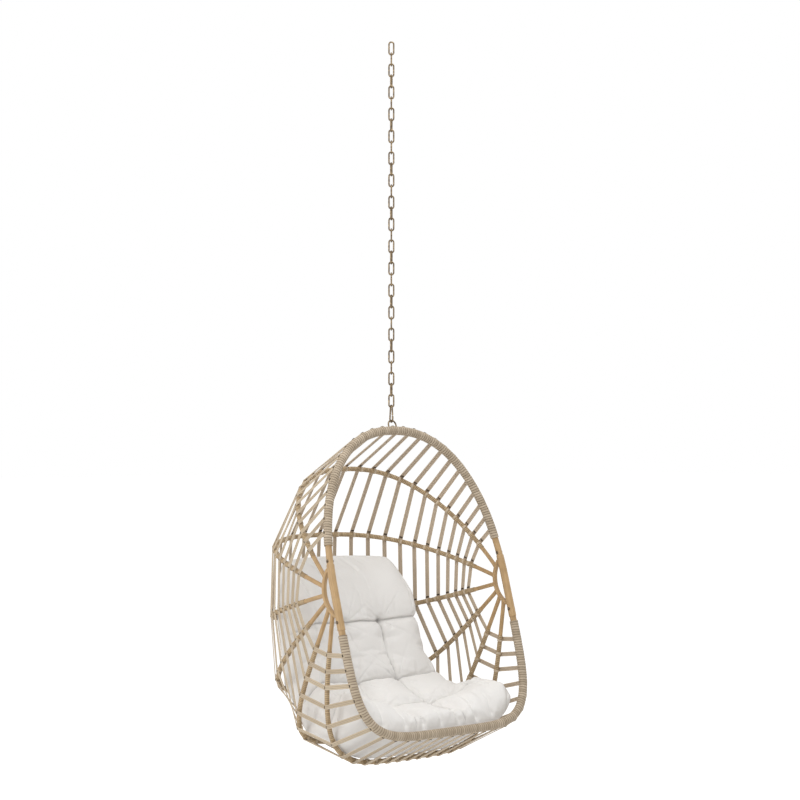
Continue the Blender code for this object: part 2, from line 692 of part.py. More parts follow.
def build_bracket(word, side, collection, cutters, basket, rim, upper_length):
    """One hub bracket: post with spigot and socket, and the bow; and its two fasteners."""

    def along(height):
        """Length along the rim at a height over the hub on this side."""
        return height if side < 0 else upper_length - height

    def bar(name, low, high, radius, target):
        """A bar on the rim's line between two heights over the hub."""
        start, end = sorted((along(low), along(high)))
        return add_object(name, rim_bar(name, start, end, radius), target, STRAW_PAINT, basket)

    bracket = bar(f"{word}_hub_bracket", -POST_BOTTOM, POST_TOP, POST_RADIUS, collection)
    overlap = 0.005
    spigot_top = POST_TOP + SPIGOT_LENGTH
    spigot = bar(f"{word}_spigot", POST_TOP - overlap, spigot_top, SPIGOT_RADIUS, cutters)
    bow = add_object(f"{word}_bow", bow_mesh(side), cutters, None, basket)
    socket_low, socket_high = -POST_BOTTOM - overlap, SOCKET_DEPTH - POST_BOTTOM
    socket = bar(f"{word}_socket", socket_low, socket_high, SOCKET_RADIUS, cutters)
    bore = bar(f"{word}_bore", socket_high - overlap, spigot_top + overlap, POST_BORE, cutters)
    for operation, tool in (
        ("UNION", spigot),
        ("UNION", bow),
        ("DIFFERENCE", socket),
        ("DIFFERENCE", bore),
    ):
        boolean(bracket, operation, tool)
    build_fastener(
        f"{word}_upper_rivet",
        side,
        along(POST_TOP + RIVET_RISE),
        TUBE_RADIUS,
        collection,
        cutters,
        basket,
        (bracket, rim["upper_rim_tube"]),
    )
    build_fastener(
        f"{word}_lower_bolt",
        side,
        along(BOLT_RISE - POST_BOTTOM),
        POST_RADIUS,
        collection,
        cutters,
        basket,
        (bracket, rim["lower_rim_tube"]),
    )


# Arches


def arch_radii(outline):
    """The bar's radius at each point, as a share of the wound radius."""
    lengths = lengths_along(outline)
    bare = ARCH_BARE_RADIUS / ARCH_RADIUS
    return [bare if min(length, lengths[-1] - length) < ARCH_BARE_LENGTH else 1.0 for length in lengths]


def build_arches(collection, cutters, basket):
    """Six arches from bow to bow, their ends coped to fit the bows."""
    cope_radius = BOW_RADIUS + BOW_BAR / 2 + CLEARANCE
    cope_mesh = cylinder_mesh("arch_cope", cope_radius, 2 * RIM_HALF_WIDTH + 0.05, 96)
    cope = add_object("arch_cope", cope_mesh, cutters, None, basket, HUB + Vector((0, BOW_CENTRE_Y, 0)))
    for number, (angle, reach, squareness) in enumerate(ARCHES, 1):
        name = f"arch_{number}"
        outline = arch_outline(reach, squareness)
        mesh = round_bar_mesh(name, outline, ARCH_RADIUS, radii=arch_radii(outline))
        mesh.transform(Matrix.Rotation(math.radians(angle), 4, "X"))
        arch = add_object(name, mesh, collection, ARCH_WICKER, basket, HUB)
        boolean(arch, "DIFFERENCE", cope)


# Straps


def share_of(index, spacing):
    """Where strap number index crosses a line, from -1 at its left end to 1 at its right end."""
    end, bulge = spacing
    step = abs(index) / STRAPS_A_SIDE
    return math.copysign(end * step * (1 + bulge * (1 - step)), index)


def outward_of(point, direction):
    """The unit normal to direction in the plane that points away from the middle."""
    normal = Vector((direction.y, -direction.x))
    return normal if normal.dot(point) > 0 else -normal


def lifted(point, angle):
    """A point or direction of a plane turned about X by an angle, in the hub frame."""
    return Vector((point.x, point.y * math.cos(angle), point.y * math.sin(angle)))


def arch_rows(index, number, outline):
    """The two rows of (left, right) points where a strap lies on an arch, upper row first."""
    angle = math.radians(ARCHES[number][0])
    half = lengths_along(outline)[-1] / 2
    point, direction = point_at(outline, half * (1 + share_of(index, ARCH_SPACINGS[number])))
    lift = ARCH_RADIUS + CLEARANCE + STRAP_THICKNESS / 2
    centre = lifted(point + outward_of(point, direction) * lift, angle)
    half_edge = lifted(direction, angle) * STRAP_WIDTH / 2
    up = Vector((0, -math.sin(angle), math.cos(angle))) * STRAP_SEAT
    return [(centre + step - half_edge, centre + step + half_edge) for step in (up, -up)]


def band_row(centre, outward, turn):
    """The front and back edge points of a strap laid flat on the rim's sleeve.

    At a corner of the rim's outline, outward is longer than a unit vector by the mitre.
    """
    lift = WRAP_RADIUS + CLEARANCE + STRAP_THICKNESS / 2
    out, back = upright(outward), Vector((0, 1, 0))
    middle = upright(centre) + lift * (out * math.cos(turn) + back * math.sin(turn))
    half = (back * math.cos(turn) - out * math.sin(turn)) * STRAP_WIDTH / 2
    return middle - half, middle + half


def rim_place(index, rim_name, upper_length, loop):
    """(length along the rim, point, outward direction, direction to +X) of a strap on the rim."""
    whole = lengths_along(loop)[-1]
    share = share_of(index, RIM_SPACING)
    if rim_name == "upper":
        distance = upper_length / 2 * (1 + share)
    else:
        distance = upper_length + (whole - upper_length) / 2 * (1 - share)
    point, direction = point_at(loop, distance)
    rightward = direction if direction.x > 0 else -direction
    return distance, point, outward_of(point, direction), rightward


def tangent_turn(target, point, outward):
    """The angle round the sleeve, from outward to the back, at which a taut strap leaves it."""
    lift = WRAP_RADIUS + CLEARANCE + STRAP_THICKNESS / 2
    away = target - upright(point)
    out, back = away.dot(upright(outward)), away.y
    return math.atan2(back, out) - math.acos(lift / math.hypot(out, back))


def rim_rows(index, rim_name, target, upper_length, loop):
    """(rows of a strap's end on the rim from front to back, turn), each row (left, right)."""
    _, point, outward, rightward = rim_place(index, rim_name, upper_length, loop)
    turn = tangent_turn(target, point, outward)
    half_edge = upright(rightward) * STRAP_WIDTH / 2
    rows = [(spot - half_edge, spot + half_edge) for spot in band_row(point, outward, turn)]
    return rows, turn


def strap_rows(index, outlines, upper_length, loop):
    """All rows of a strap from the upper to the lower rim, and its turns on both rims."""
    middle = []
    for number, outline in enumerate(outlines):
        middle += arch_rows(index, number, outline)
    first = (middle[0][0] + middle[0][1]) / 2
    last = (middle[-1][0] + middle[-1][1]) / 2
    upper, upper_turn = rim_rows(index, "upper", first, upper_length, loop)
    lower, lower_turn = rim_rows(index, "lower", last, upper_length, loop)
    return upper + middle + lower[::-1], {"upper": upper_turn, "lower": lower_turn}


def run_rows(start_strap, end_strap, rim_name, turns, upper_length, loop):
    """The rows of the run between two straps, at the rim's own points, each (front, back)."""
    places = sorted(rim_place(index, rim_name, upper_length, loop)[0] for index in (start_strap, end_strap))
    if rim_name == "lower":
        turns = turns[::-1]
    lengths = lengths_along(loop)
    rows = []
    for number in range(1, len(loop) - 1):
        share = (lengths[number] - places[0]) / (places[1] - places[0])
        inset = 0.55 * STRAP_WIDTH / (places[1] - places[0])
        if not inset < share < 1 - inset:
            continue
        before = (loop[number] - loop[number - 1]).normalized()
        after = (loop[number + 1] - loop[number]).normalized()
        mitre = (before + after) / (1 + before.dot(after))
        outward = outward_of(loop[number], mitre)
        turn = turns[0] + (turns[1] - turns[0]) * share
        rows.append(band_row(loop[number], outward, turn))
    return rows if rim_name == "upper" else rows[::-1]


def extrude_rows(bm, rows):
    """Extrude the edge of the first row through all the others."""
    ends = [bm.verts.new(point) for point in rows[0]]
    edge = bm.edges.new(ends)
    for row in rows[1:]:
        grown = bmesh.ops.extrude_edge_only(bm, edges=[edge])["geom"]
        edge = next(piece for piece in grown if isinstance(piece, bmesh.types.BMEdge))
        from_first = (edge.verts[0].co - ends[0].co).length < (edge.verts[0].co - ends[1].co).length
        ends = list(edge.verts) if from_first else [edge.verts[1], edge.verts[0]]
        for vert, point in zip(ends, row):
            vert.co = point


def build_strands(collection, basket, upper_length, loop):
    """Weave the strands: each is a ribbon up and down the basket and along the rims."""
    outlines = [arch_outline(reach, squareness) for _, reach, squareness in ARCHES]
    for name, route in STRANDS.items():
        bm = bmesh.new()
        straps = {index: strap_rows(index, outlines, upper_length, loop) for index, _ in route}
        for rows, _ in straps.values():
            extrude_rows(bm, rows)
        for (index, rim_name), (following, _) in zip(route, route[1:]):
            (left_rows, left_turns), (right_rows, right_turns) = straps[index], straps[following]
            front, back = (0, 1) if rim_name == "upper" else (-1, -2)
            start = (left_rows[front][1], left_rows[back][1])
            end = (right_rows[front][0], right_rows[back][0])
            turns = (left_turns[rim_name], right_turns[rim_name])
            between = run_rows(index, following, rim_name, turns, upper_length, loop)
            extrude_rows(bm, [start, *between, end])
        bmesh.ops.remove_doubles(bm, verts=bm.verts, dist=0.00001)
        mesh = mesh_from_bmesh(name, bm, smooth=False)
        strand = add_object(name, mesh, collection, STRAP_WICKER, basket, HUB)
        solidify(strand, STRAP_THICKNESS, 0)


# Cushion


def station_at(share):
    """(angle, half width, depth) of the cushion at a share of its length from the front."""
    shares = [0.0, *(row / CUSHION_ALONG for row in SEAM_ROWS), 1.0]
    number = 1
    while shares[number] < share:
        number += 1
    low, high = shares[number - 1], shares[number]
    first, second = CUSHION_STATIONS[number - 1], CUSHION_STATIONS[number]
    step = (share - low) / (high - low)
    return [start + (end - start) * step for start, end in zip(first, second)]


def inner_reach(x, reach, squareness, bar_radius):
    """How far the cushion's back stands from the hub axis where it lies on one bar."""
    inset = bar_radius + CUSHION_CLEARANCE
    across = min(abs(x) / (RIM_HALF_WIDTH - inset), 1.0)
    return ARCH_ROOT + (reach - ARCH_ROOT - inset) * (1 - across**squareness) ** (1 / squareness)


def wall_reach(x, angle):
    """The same at any angle in degrees: the back is taut from one bar to the next."""
    bars = [(*arch, ARCH_RADIUS) for arch in ARCHES]
    bars.append((-90.0, RIM_DROP, RIM_BOTTOM_SQUARENESS, WRAP_RADIUS))
    number = 1
    while number < len(bars) - 1 and bars[number][0] > angle:
        number += 1
    high, low = bars[number - 1], bars[number]
    near, far = inner_reach(x, *high[1:]), inner_reach(x, *low[1:])
    over, under, span = (math.radians(turn) for turn in (high[0] - angle, angle - low[0], high[0] - low[0]))
    return near * far * math.sin(span) / (near * math.sin(over) + far * math.sin(under))


def seam_sag(column, row):
    """How far seams and tufts draw the cushion's front in at a grid point."""
    if row in SEAM_ROWS and column == SEAM_COLUMN:
        return TUFT_DEPTH
    on_row = row in SEAM_ROWS
    on_column = column == SEAM_COLUMN and row < max(SEAM_ROWS)
    return SEAM_DEPTH if on_row or on_column else 0.0


def cushion_point(across, along, through):
    """Map a cube's point, each from -1 to 1, to the hub frame; through 1 is the front."""
    share = (along + 1) / 2
    row = round(share * CUSHION_ALONG)
    column = round(abs(across) * CUSHION_ACROSS / 2)
    angle, half_width, depth = station_at(share)
    pinch = SEAM_PINCH if row in SEAM_ROWS else 0.0
    x = across * (half_width - pinch) * (1 - 0.10 * abs(across) ** 4 * max(0.0, share - 0.75) / 0.25)
    back = wall_reach(x, angle)
    crown = (1 - abs(across) ** 3) ** 0.5 * (1 - abs(along) ** 8) ** 0.5
    depth *= CUSHION_EDGE + (1 - CUSHION_EDGE) * crown
    depth -= seam_sag(column, row) * max(crown, 0.4)
    reach = back - depth * (through + 1) / 2
    x *= 1 - CUSHION_TAPER * (through + 1) / 2
    bulge = CUSHION_SIDE_BULGE * (1 - through**2)
    if abs(across) > 0.999:
        x += math.copysign(bulge, across)
    if abs(along) > 0.999:
        angle += math.copysign(math.degrees(bulge / reach), along)
    turn = math.radians(angle)
    return Vector((x, reach * math.cos(turn), reach * math.sin(turn)))


def build_cushion(collection, cutters, basket):
    """The tufted pad that lines the back and the seat: a filled cover with a slit in its back."""
    bm = bmesh.new()
    bmesh.ops.create_cube(bm, size=2)
    for axis, faces in ((0, CUSHION_ACROSS), (1, CUSHION_ALONG), (2, CUSHION_THROUGH)):
        edges = [edge for edge in bm.edges if abs(edge.verts[0].co[axis] - edge.verts[1].co[axis]) > 1]
        bmesh.ops.subdivide_edges(bm, edges=edges, cuts=faces - 1, use_grid_fill=True)
    for vert in bm.verts:
        vert.co = cushion_point(*vert.co)
    mesh = mesh_from_bmesh("seat_cushion", bm)
    cushion = add_object("seat_cushion", mesh, collection, OFF_WHITE_CLOTH, basket, HUB)
    solidify(cushion, COVER_THICKNESS, -1).use_even_offset = False
    slit_mesh = box_mesh("cover_slit", (SLIT_WIDTH, 4 * COVER_THICKNESS, SLIT_HEIGHT))
    slit_mesh.transform(Matrix.Translation((0, wall_reach(0, SLIT_ANGLE), 0)))
    slit = add_object("cover_slit", slit_mesh, cutters, None, basket, HUB)
    slit.rotation_euler.x = math.radians(SLIT_ANGLE)
    boolean(cushion, "DIFFERENCE", slit)


def main():
    """Build the whole chair."""
    clear_scene()
    collection = new_collection(COLLECTION_NAME)
    cutters = new_collection("cutters")
    loop, upper_length = rim_outline()
    whole_length = lengths_along(loop)[-1]
    last_link, last_yaw = build_chain(collection)
    hook = build_hook(collection, cutters, last_link, last_yaw)
    pivot_height = BASKET_PIVOT_Z - LAST_WIRE_Z
    basket = add_empty("basket_hinge", collection, (0, 0, pivot_height), hook)
    basket.rotation_mode = "QUATERNION"
    yaw = Matrix.Rotation(math.radians(-HOOK_YAW), 4, "Z")
    lean = Matrix.Rotation(math.radians(-BASKET_LEAN), 4, "X")
    basket.rotation_quaternion = (yaw @ lean).to_quaternion()
    rim = build_rim(collection, cutters, basket, upper_length, whole_length)
    build_bracket("left", -1, collection, cutters, basket, rim, upper_length)
    build_bracket("right", 1, collection, cutters, basket, rim, upper_length)
    build_arches(collection, cutters, basket)
    build_strands(collection, basket, upper_length, loop)
    build_cushion(collection, cutters, basket)


main()
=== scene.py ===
"""Looks of a hanging egg chair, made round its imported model.

Everything is in metres in the model's frame: +Z is up, the basket's mouth faces -Y, and the origin
is the inner crown of the chain's top link. The basket's pieces are shaped in the hub frame, whose
origin is midway between the two hub brackets, with X from hub to hub, Y to the back and Z in the
rim's plane. The basket leans, so that frame is turned about X.

Bars, windings and straps start as straight stock along Z, measured in steps, and are then bent
along a line.
"""

import bisect
import logging
import math
import random
from dataclasses import dataclass
from enum import Enum
from typing import Callable, Iterable, Sequence

import bmesh
import bpy
import numpy as np
from bmesh.types import BMesh, BMFace, BMVert
from bpy.types import Material, Node, NodeSocket, NodeTree, Object
from mathutils import Matrix, Vector, noise


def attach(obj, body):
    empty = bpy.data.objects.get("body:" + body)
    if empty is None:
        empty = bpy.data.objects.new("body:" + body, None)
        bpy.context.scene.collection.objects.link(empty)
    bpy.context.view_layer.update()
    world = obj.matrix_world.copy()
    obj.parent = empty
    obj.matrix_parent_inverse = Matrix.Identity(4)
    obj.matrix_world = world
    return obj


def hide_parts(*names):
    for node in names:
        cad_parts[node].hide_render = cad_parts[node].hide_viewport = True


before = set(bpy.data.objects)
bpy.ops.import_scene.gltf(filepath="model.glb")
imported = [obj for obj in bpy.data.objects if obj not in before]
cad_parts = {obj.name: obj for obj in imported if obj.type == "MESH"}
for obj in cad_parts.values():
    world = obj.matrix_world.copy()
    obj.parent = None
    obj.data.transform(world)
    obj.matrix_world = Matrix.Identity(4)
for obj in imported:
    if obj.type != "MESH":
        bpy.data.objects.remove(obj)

LOG = logging.getLogger("hanging_egg_chair")
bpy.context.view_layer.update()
BASKET_BODY = "basket"
HOOK_BODY = "snap_hook"
GATE_BODY = "snap_hook_gate"
BACK = Vector((0, 1, 0))
WHITE = (1, 1, 1, 1)

Taper = Callable[[float], float]
Triple = tuple[float, float, float]
Seat = tuple[Vector, Vector, Vector]


class Side(Enum):
    """The two sides of the basket, with the sign of X there."""

    LEFT = -1
    RIGHT = 1

    @property
    def word(self) -> str:
        """The side's name in lower case."""
        return self.name.lower()


class Hoop(Enum):
    """The two halves of the rim."""

    UPPER = "upper"
    LOWER = "lower"


# Materials


class NodeBench:
    """A material with a node tree, and short ways to put nodes into it."""

    def __init__(self, name: str) -> None:
        """Start a material with only its shader and output.

        Args:
            name: the material's name.
        """
        self.material = bpy.data.materials.new(name)
        self.material.use_nodes = True
        self.tree = self.material.node_tree
        self.shader = self.tree.nodes["Principled BSDF"]

    def node(self, kind: str, inputs: dict | None = None, **settings: object) -> Node:
        """Add a node.

        Args:
            kind: the node's type without its ShaderNode prefix.
            inputs: values or sockets for its inputs, by name or number.
            **settings: properties of the node itself.

        Returns:
            The new node.
        """
        made = self.tree.nodes.new(f"ShaderNode{kind}")
        for name, value in settings.items():
            setattr(made, name, value)
        for name, value in (inputs or {}).items():
            if isinstance(value, NodeSocket):
                self.tree.links.new(value, made.inputs[name])
            else:
                made.inputs[name].default_value = value
        return made

    def attribute(self, name: str, output: str = "Fac") -> NodeSocket:
        """Read one of the mesh's own attributes."""
        return self.node("Attribute", attribute_name=name).outputs[output]

    def place(self) -> NodeSocket:
        """Read the point in the model's frame."""
        return self.node("TexCoord").outputs["Object"]

    def stretched(self, vector: NodeSocket, scale: Sequence[float]) -> NodeSocket:
        """Scale a vector along its three axes."""
        return self.node("Mapping", {"Vector": vector, "Scale": tuple(scale)}).outputs["Vector"]

    def cloud(self, vector: NodeSocket, scale: float, detail: float = 3.0) -> NodeSocket:
        """Smooth noise from 0 to 1."""
        return self.node("TexNoise", {"Vector": vector, "Scale": scale, "Detail": detail}).outputs["Fac"]

    def spread(
        self, value: NodeSocket, low: float, high: float, to: tuple[float, float] = (0.0, 1.0)
    ) -> NodeSocket:
        """Map a range of values to another, held at its ends."""
        ranges = {"Value": value, "From Min": low, "From Max": high, "To Min": to[0], "To Max": to[1]}
        return self.node("MapRange", ranges).outputs["Result"]

    def mixed(self, share: object, first: object, second: object, blend: str = "MIX") -> NodeSocket:
        """Mix two colours, each a socket or three numbers.

        Args:
            share: how much of the second, a socket or a number.
            first: the first colour.
            second: the second colour.
            blend: the way in which they mix.

        Returns:
            The mixed colour.
        """
        made = self.node("Mix", data_type="RGBA", blend_type=blend)
        for number, value in ((0, share), (6, first), (7, second)):
            if isinstance(value, NodeSocket):
                self.tree.links.new(value, made.inputs[number])
            elif number == 0:
                made.inputs[0].default_value = value
            else:
                made.inputs[number].default_value = (*value, 1.0)
        return made.outputs[2]

    def maths(self, operation: str, *values: object) -> NodeSocket:
        """Work on numbers, each a socket or a number."""
        return self.node("Math", dict(enumerate(values)), operation=operation).outputs[0]

    def weighed(self, *terms: tuple[NodeSocket, float]) -> NodeSocket:
        """Add up sockets, each times its weight.

        Args:
            *terms: pairs of a socket and its weight.

        Returns:
            The sum.
        """
        scaled = [self.maths("MULTIPLY", value, weight) for value, weight in terms]
        whole = scaled[0]
        for term in scaled[1:]:
            whole = self.maths("ADD", whole, term)
        return whole

    def dress(self, **inputs: object) -> Material:
        """Set the shader's own sockets and return the material.

        Args:
            **inputs: values or sockets, by the socket's name with _ for a space.

        Returns:
            The finished material.
        """
        for name, value in inputs.items():
            socket = self.shader.inputs[name.replace("_", " ")]
            if isinstance(value, NodeSocket):
                self.tree.links.new(value, socket)
            else:
                colour = isinstance(value, tuple) and len(value) == 3
                socket.default_value = (*value, 1.0) if colour else value
        return self.material

    def bump(
        self, height: NodeSocket, strength: float, distance: float, under: NodeSocket | None = None
    ) -> NodeSocket:
        """Turn a height into a normal, on top of another bump if one is given.

        Args:
            height: the height.
            strength: how much of the bump counts, from 0 to 1.
            distance: metres for a height of 1.
            under: the normal of the other bump.

        Returns:
            The normal.
        """
        inputs = {"Height": height, "Strength": strength, "Distance": distance}
        if under is not None:
            inputs["Normal"] = under
        return self.node("Bump", inputs).outputs["Normal"]


@dataclass(frozen=True)
class AgedBronze:
    """Brown-finished metal, rubbed brighter in patches."""

    name: str
    brown: Triple = (0.125, 0.088, 0.052)
    rubbed: Triple = (0.38, 0.285, 0.165)
    roughness: float = 0.38
    pitted: Triple = (0.06, 0.042, 0.027)
    patch_scale: float = 150.0
    speck_scale: float = 1400.0

    def material(self) -> Material:
        """Make the material on object coordinates.

        Returns:
            The material.
        """
        bench = NodeBench(self.name)
        place = bench.place()
        patches = bench.spread(bench.cloud(place, self.patch_scale, 4.0), 0.42, 0.68)
        specks = bench.cloud(place, self.speck_scale, 2.0)
        colour = bench.mixed(patches, self.brown, self.rubbed)
        colour = bench.mixed(bench.spread(specks, 0.3, 0.7, (0.35, 0.0)), colour, self.pitted)
        range_of_rough = (self.roughness - 0.08, self.roughness + 0.14)
        rough = bench.spread(bench.cloud(place, 320.0), 0.3, 0.7, range_of_rough)
        normal = bench.bump(specks, 0.12, 0.0002)
        return bench.dress(Base_Color=colour, Roughness=rough, Metallic=0.85, Normal=normal)


@dataclass(frozen=True)
class SpringSteel:
    """Bright drawn wire."""

    name: str = "drawn_wire"
    dull: Triple = (0.42, 0.40, 0.37)
    bright: Triple = (0.55, 0.53, 0.50)
    scale: float = 900.0

    def material(self) -> Material:
        """Make the material on object coordinates.

        Returns:
            The material.
        """
        bench = NodeBench(self.name)
        place = bench.place()
        shade = bench.spread(bench.cloud(place, self.scale), 0.3, 0.7)
        colour = bench.mixed(shade, self.dull, self.bright)
        return bench.dress(Base_Color=colour, Roughness=0.3, Metallic=1.0)


@dataclass(frozen=True)
class StapleAndShadeBlack:
    """Dark oxide on small staples; on the blocks at the arch crossings the same dark colour is painted
    shade.
    """

    name: str = "staple_black"
    dark: Triple = (0.035, 0.024, 0.016)
    worn: Triple = (0.075, 0.052, 0.034)
    scale: float = 700.0

    def material(self) -> Material:
        """Make the material on object coordinates.

        Returns:
            The material.
        """
        bench = NodeBench(self.name)
        place = bench.place()
        shade = bench.spread(bench.cloud(place, self.scale), 0.3, 0.7)
        colour = bench.mixed(shade, self.dark, self.worn)
        return bench.dress(Base_Color=colour, Roughness=0.55, Specular_IOR_Level=0.3)


@dataclass(frozen=True)
class CanePaint:
    """Straw-yellow finish with lengthwise streaks, as on peeled cane."""

    name: str
    pale: Triple = (0.52, 0.345, 0.172)
    deep: Triple = (0.35, 0.220, 0.098)
    knots: Triple = (0.24, 0.145, 0.065)
    fibres: Triple = (420.0, 420.0, 9.0)
    flecks: Triple = (900.0, 900.0, 60.0)

    def material(self) -> Material:
        """Make the material on the bar's own straight coordinates.

        Returns:
            The material.
        """
        bench = NodeBench(self.name)
        grain = bench.attribute("grain", "Vector")
        streaks = bench.cloud(bench.stretched(grain, self.fibres), 1.0, 4.0)
        clouds = bench.cloud(grain, 22.0, 2.0)
        both = bench.weighed((streaks, 0.6), (clouds, 0.4))
        colour = bench.mixed(bench.spread(both, 0.36, 0.64), self.deep, self.pale)
        specks = bench.cloud(bench.stretched(grain, self.flecks), 1.0, 2.0)
        colour = bench.mixed(bench.spread(specks, 0.62, 0.75, (0.0, 0.35)), colour, self.knots)
        rough = bench.spread(streaks, 0.3, 0.7, (0.36, 0.52))
        normal = bench.bump(streaks, 0.18, 0.0004)
        return bench.dress(Base_Color=colour, Roughness=rough, Normal=normal, Specular_IOR_Level=0.45)


@dataclass(frozen=True)
class Peel:
    """Flat peel of cane or resin: fibres, a tone for each turn or strap, and painted shade in its grooves.
    """

    name: str
    pale: Triple
    deep: Triple
    # groove: the dark colour that paints the shade in the grooves.
    groove: Triple
    fibres: Triple
    inner: Triple | None = None
    half_thickness: float = 0.0015

    def material(self) -> Material:
        """Make the material on the stock's straight coordinates, tones and crests.

        Returns:
            The material.
        """
        bench = NodeBench(self.name)
        grain = bench.attribute("grain", "Vector")
        tone = bench.attribute("tone")
        crest = bench.attribute("crest")
        fibre = bench.cloud(bench.stretched(grain, self.fibres), 1.0, 3.0)
        blotch = bench.cloud(bench.stretched(grain, tuple(0.12 * share for share in self.fibres)), 1.0, 2.0)
        mixed = bench.weighed((fibre, 0.50), (tone, 0.30), (blotch, 0.20))
        colour = bench.mixed(bench.spread(mixed, 0.28, 0.72), self.deep, self.pale)
        if self.inner is not None:
            height = bench.node("SeparateXYZ", {"Vector": grain}).outputs["Y"]
            edge = 0.5 * self.half_thickness
            turned = bench.spread(height, -edge, edge, (1.0, 0.0))
            colour = bench.mixed(bench.maths("MULTIPLY", turned, 0.75), colour, self.inner)
        # Painted shade: where the crest is low, in the grooves between turns and peels and on the inner
        # face of each strap's turn, the colour goes towards the groove colour.
        colour = bench.mixed(bench.spread(crest, 0.0, 0.9, (0.95, 0.0)), colour, self.groove)
        rough = bench.spread(fibre, 0.3, 0.7, (0.5, 0.7))
        normal = bench.bump(fibre, 0.35, 0.0004)
        return bench.dress(Base_Color=colour, Roughness=rough, Normal=normal, Specular_IOR_Level=0.35)


@dataclass(frozen=True)
class Canvas:
    """Off-white woven cloth with a soft nap, and painted shade along its seams and in its tuft pits."""

    name: str = "off_white_canvas"
    cloth: Triple = (0.830, 0.815, 0.795)
    shaded: Triple = (0.775, 0.757, 0.735)
    seam_shade: Triple = (0.36, 0.345, 0.33)
    nap: Triple = (0.70, 0.68, 0.655)
    threads: float = 260.0

    def material(self) -> Material:
        """Make the material on object coordinates.

        Returns:
            The material.
        """
        bench = NodeBench(self.name)
        place = bench.place()
        wide = bench.cloud(place, 6.0, 3.0)
        fine = bench.cloud(place, 420.0, 3.0)
        colour = bench.mixed(bench.spread(wide, 0.35, 0.65, (0.0, 0.55)), self.cloth, self.shaded)
        colour = bench.mixed(bench.spread(fine, 0.35, 0.75, (0.0, 0.25)), colour, self.nap)
        # Painted shade: the seams and tuft pits are darkened towards dark grey, for the shade in their
        # creases.
        stitch = bench.attribute("stitch")
        colour = bench.mixed(bench.maths("MULTIPLY", stitch, 0.75), colour, self.seam_shade)
        waves = {"Vector": place, "Scale": self.threads}
        weft, warp = (bench.node("TexWave", waves, bands_direction=axis).outputs["Fac"] for axis in "XZ")
        weave = bench.maths("MAXIMUM", weft, warp)
        slub = bench.bump(bench.cloud(place, 260.0, 4.0), 0.12, 0.0008)
        normal = bench.bump(weave, 0.10, 0.0003, slub)
        return bench.dress(
            Base_Color=colour,
            Roughness=0.92,
            Normal=normal,
            Specular_IOR_Level=0.2,
            Sheen_Weight=0.15,
            Sheen_Roughness=0.5,
        )


# Lines and stock


@dataclass(frozen=True)
class Station:
    """A place on a line, with the two directions that span a section there."""

    origin: Vector
    side: Vector
    rise: Vector
    length: float


class Line:
    """Stations one step apart, along which straight stock is bent."""

    def __init__(self, stations: Sequence[Station]) -> None:
        """Keep the stations.

        Args:
            stations: the places in order.
        """
        self.stations = list(stations)

    @property
    def steps(self) -> int:
        """How many steps the line has."""
        return len(self.stations) - 1

    @property
    def length(self) -> float:
        """The line's whole length in metres."""
        return self.stations[-1].length

    @classmethod
    def flat(cls, points: Sequence[Vector], rise: Vector, closed: bool = False) -> "Line":
        """Lay a line through points of a plane, with its sections square to it.

        Args:
            points: the points in order, the first one again at the end if closed.
            rise: the plane's normal.
            closed: whether the line runs on from its end to its start.

        Returns:
            The line.
        """
        last = len(points) - 1
        stations = []
        length = 0.0
        for number, point in enumerate(points):
            before = points[number - 1] if number else (points[last - 1] if closed else points[0])
            after = points[number + 1] if number < last else (points[1] if closed else points[last])
            if number:
                length += (point - points[number - 1]).length
            side = (after - before).normalized().cross(rise).normalized()
            stations.append(Station(point, side, rise, length))
        return cls(stations)

    def at(self, step: float) -> Station:
        """The station at a number of steps, between two of the stations if need be.

        Args:
            step: steps from the start.

        Returns:
            The station there.
        """
        number = min(max(int(step), 0), self.steps - 1)
        share = min(max(step - number, 0.0), 1.0)
        low, high = self.stations[number], self.stations[number + 1]
        return Station(
            low.origin.lerp(high.origin, share),
            low.side.lerp(high.side, share).normalized(),
            low.rise.lerp(high.rise, share).normalized(),
            low.length + (high.length - low.length) * share,
        )


def lengths_of(points: Sequence[Vector]) -> list[float]:
    """The length from the first point to each point.

    Args:
        points: the points in order.

    Returns:
        A length in metres for each.
    """
    lengths = [0.0]
    for first, second in zip(points, points[1:]):
        lengths.append(lengths[-1] + (second - first).length)
    return lengths


def point_on(points: Sequence[Vector], lengths: Sequence[float], distance: float) -> tuple[Vector, Vector]:
    """Find a place on a row of points.

    Args:
        points: the points in order.
        lengths: the length to each of them.
        distance: how far along the place is.

    Returns:
        The place, and the unit direction there.
    """
    number = min(max(bisect.bisect_left(lengths, distance), 1), len(points) - 1)
    low, high = lengths[number - 1], lengths[number]
    first, second = points[number - 1], points[number]
    return first.lerp(second, (distance - low) / (high - low)), (second - first).normalized()


def spaced(
    points: Sequence[Vector], step: float, start: float = 0.0, end: float | None = None
) -> list[Vector]:
    """Points one even step apart on a stretch of a row of points.

    Args:
        points: the row.
        step: about how far apart the new points are.
        start: the length at which the stretch starts.
        end: the length at which it ends, or None for the row's end.

    Returns:
        The new points.
    """
    lengths = lengths_of(points)
    end = lengths[-1] if end is None else end
    count = max(2, round((end - start) / step))
    places = (start + (end - start) * number / count for number in range(count + 1))
    return [point_on(points, lengths, place)[0] for place in places]


def arc(centre: Vector, radius: float, start: float, end: float, steps: int) -> list[Vector]:
    """Points on an arc in the XZ plane, with angles in degrees from +X towards +Z."""
    turns = [math.radians(start + (end - start) * step / steps) for step in range(steps + 1)]
    return [centre + radius * Vector((math.cos(turn), 0, math.sin(turn))) for turn in turns]


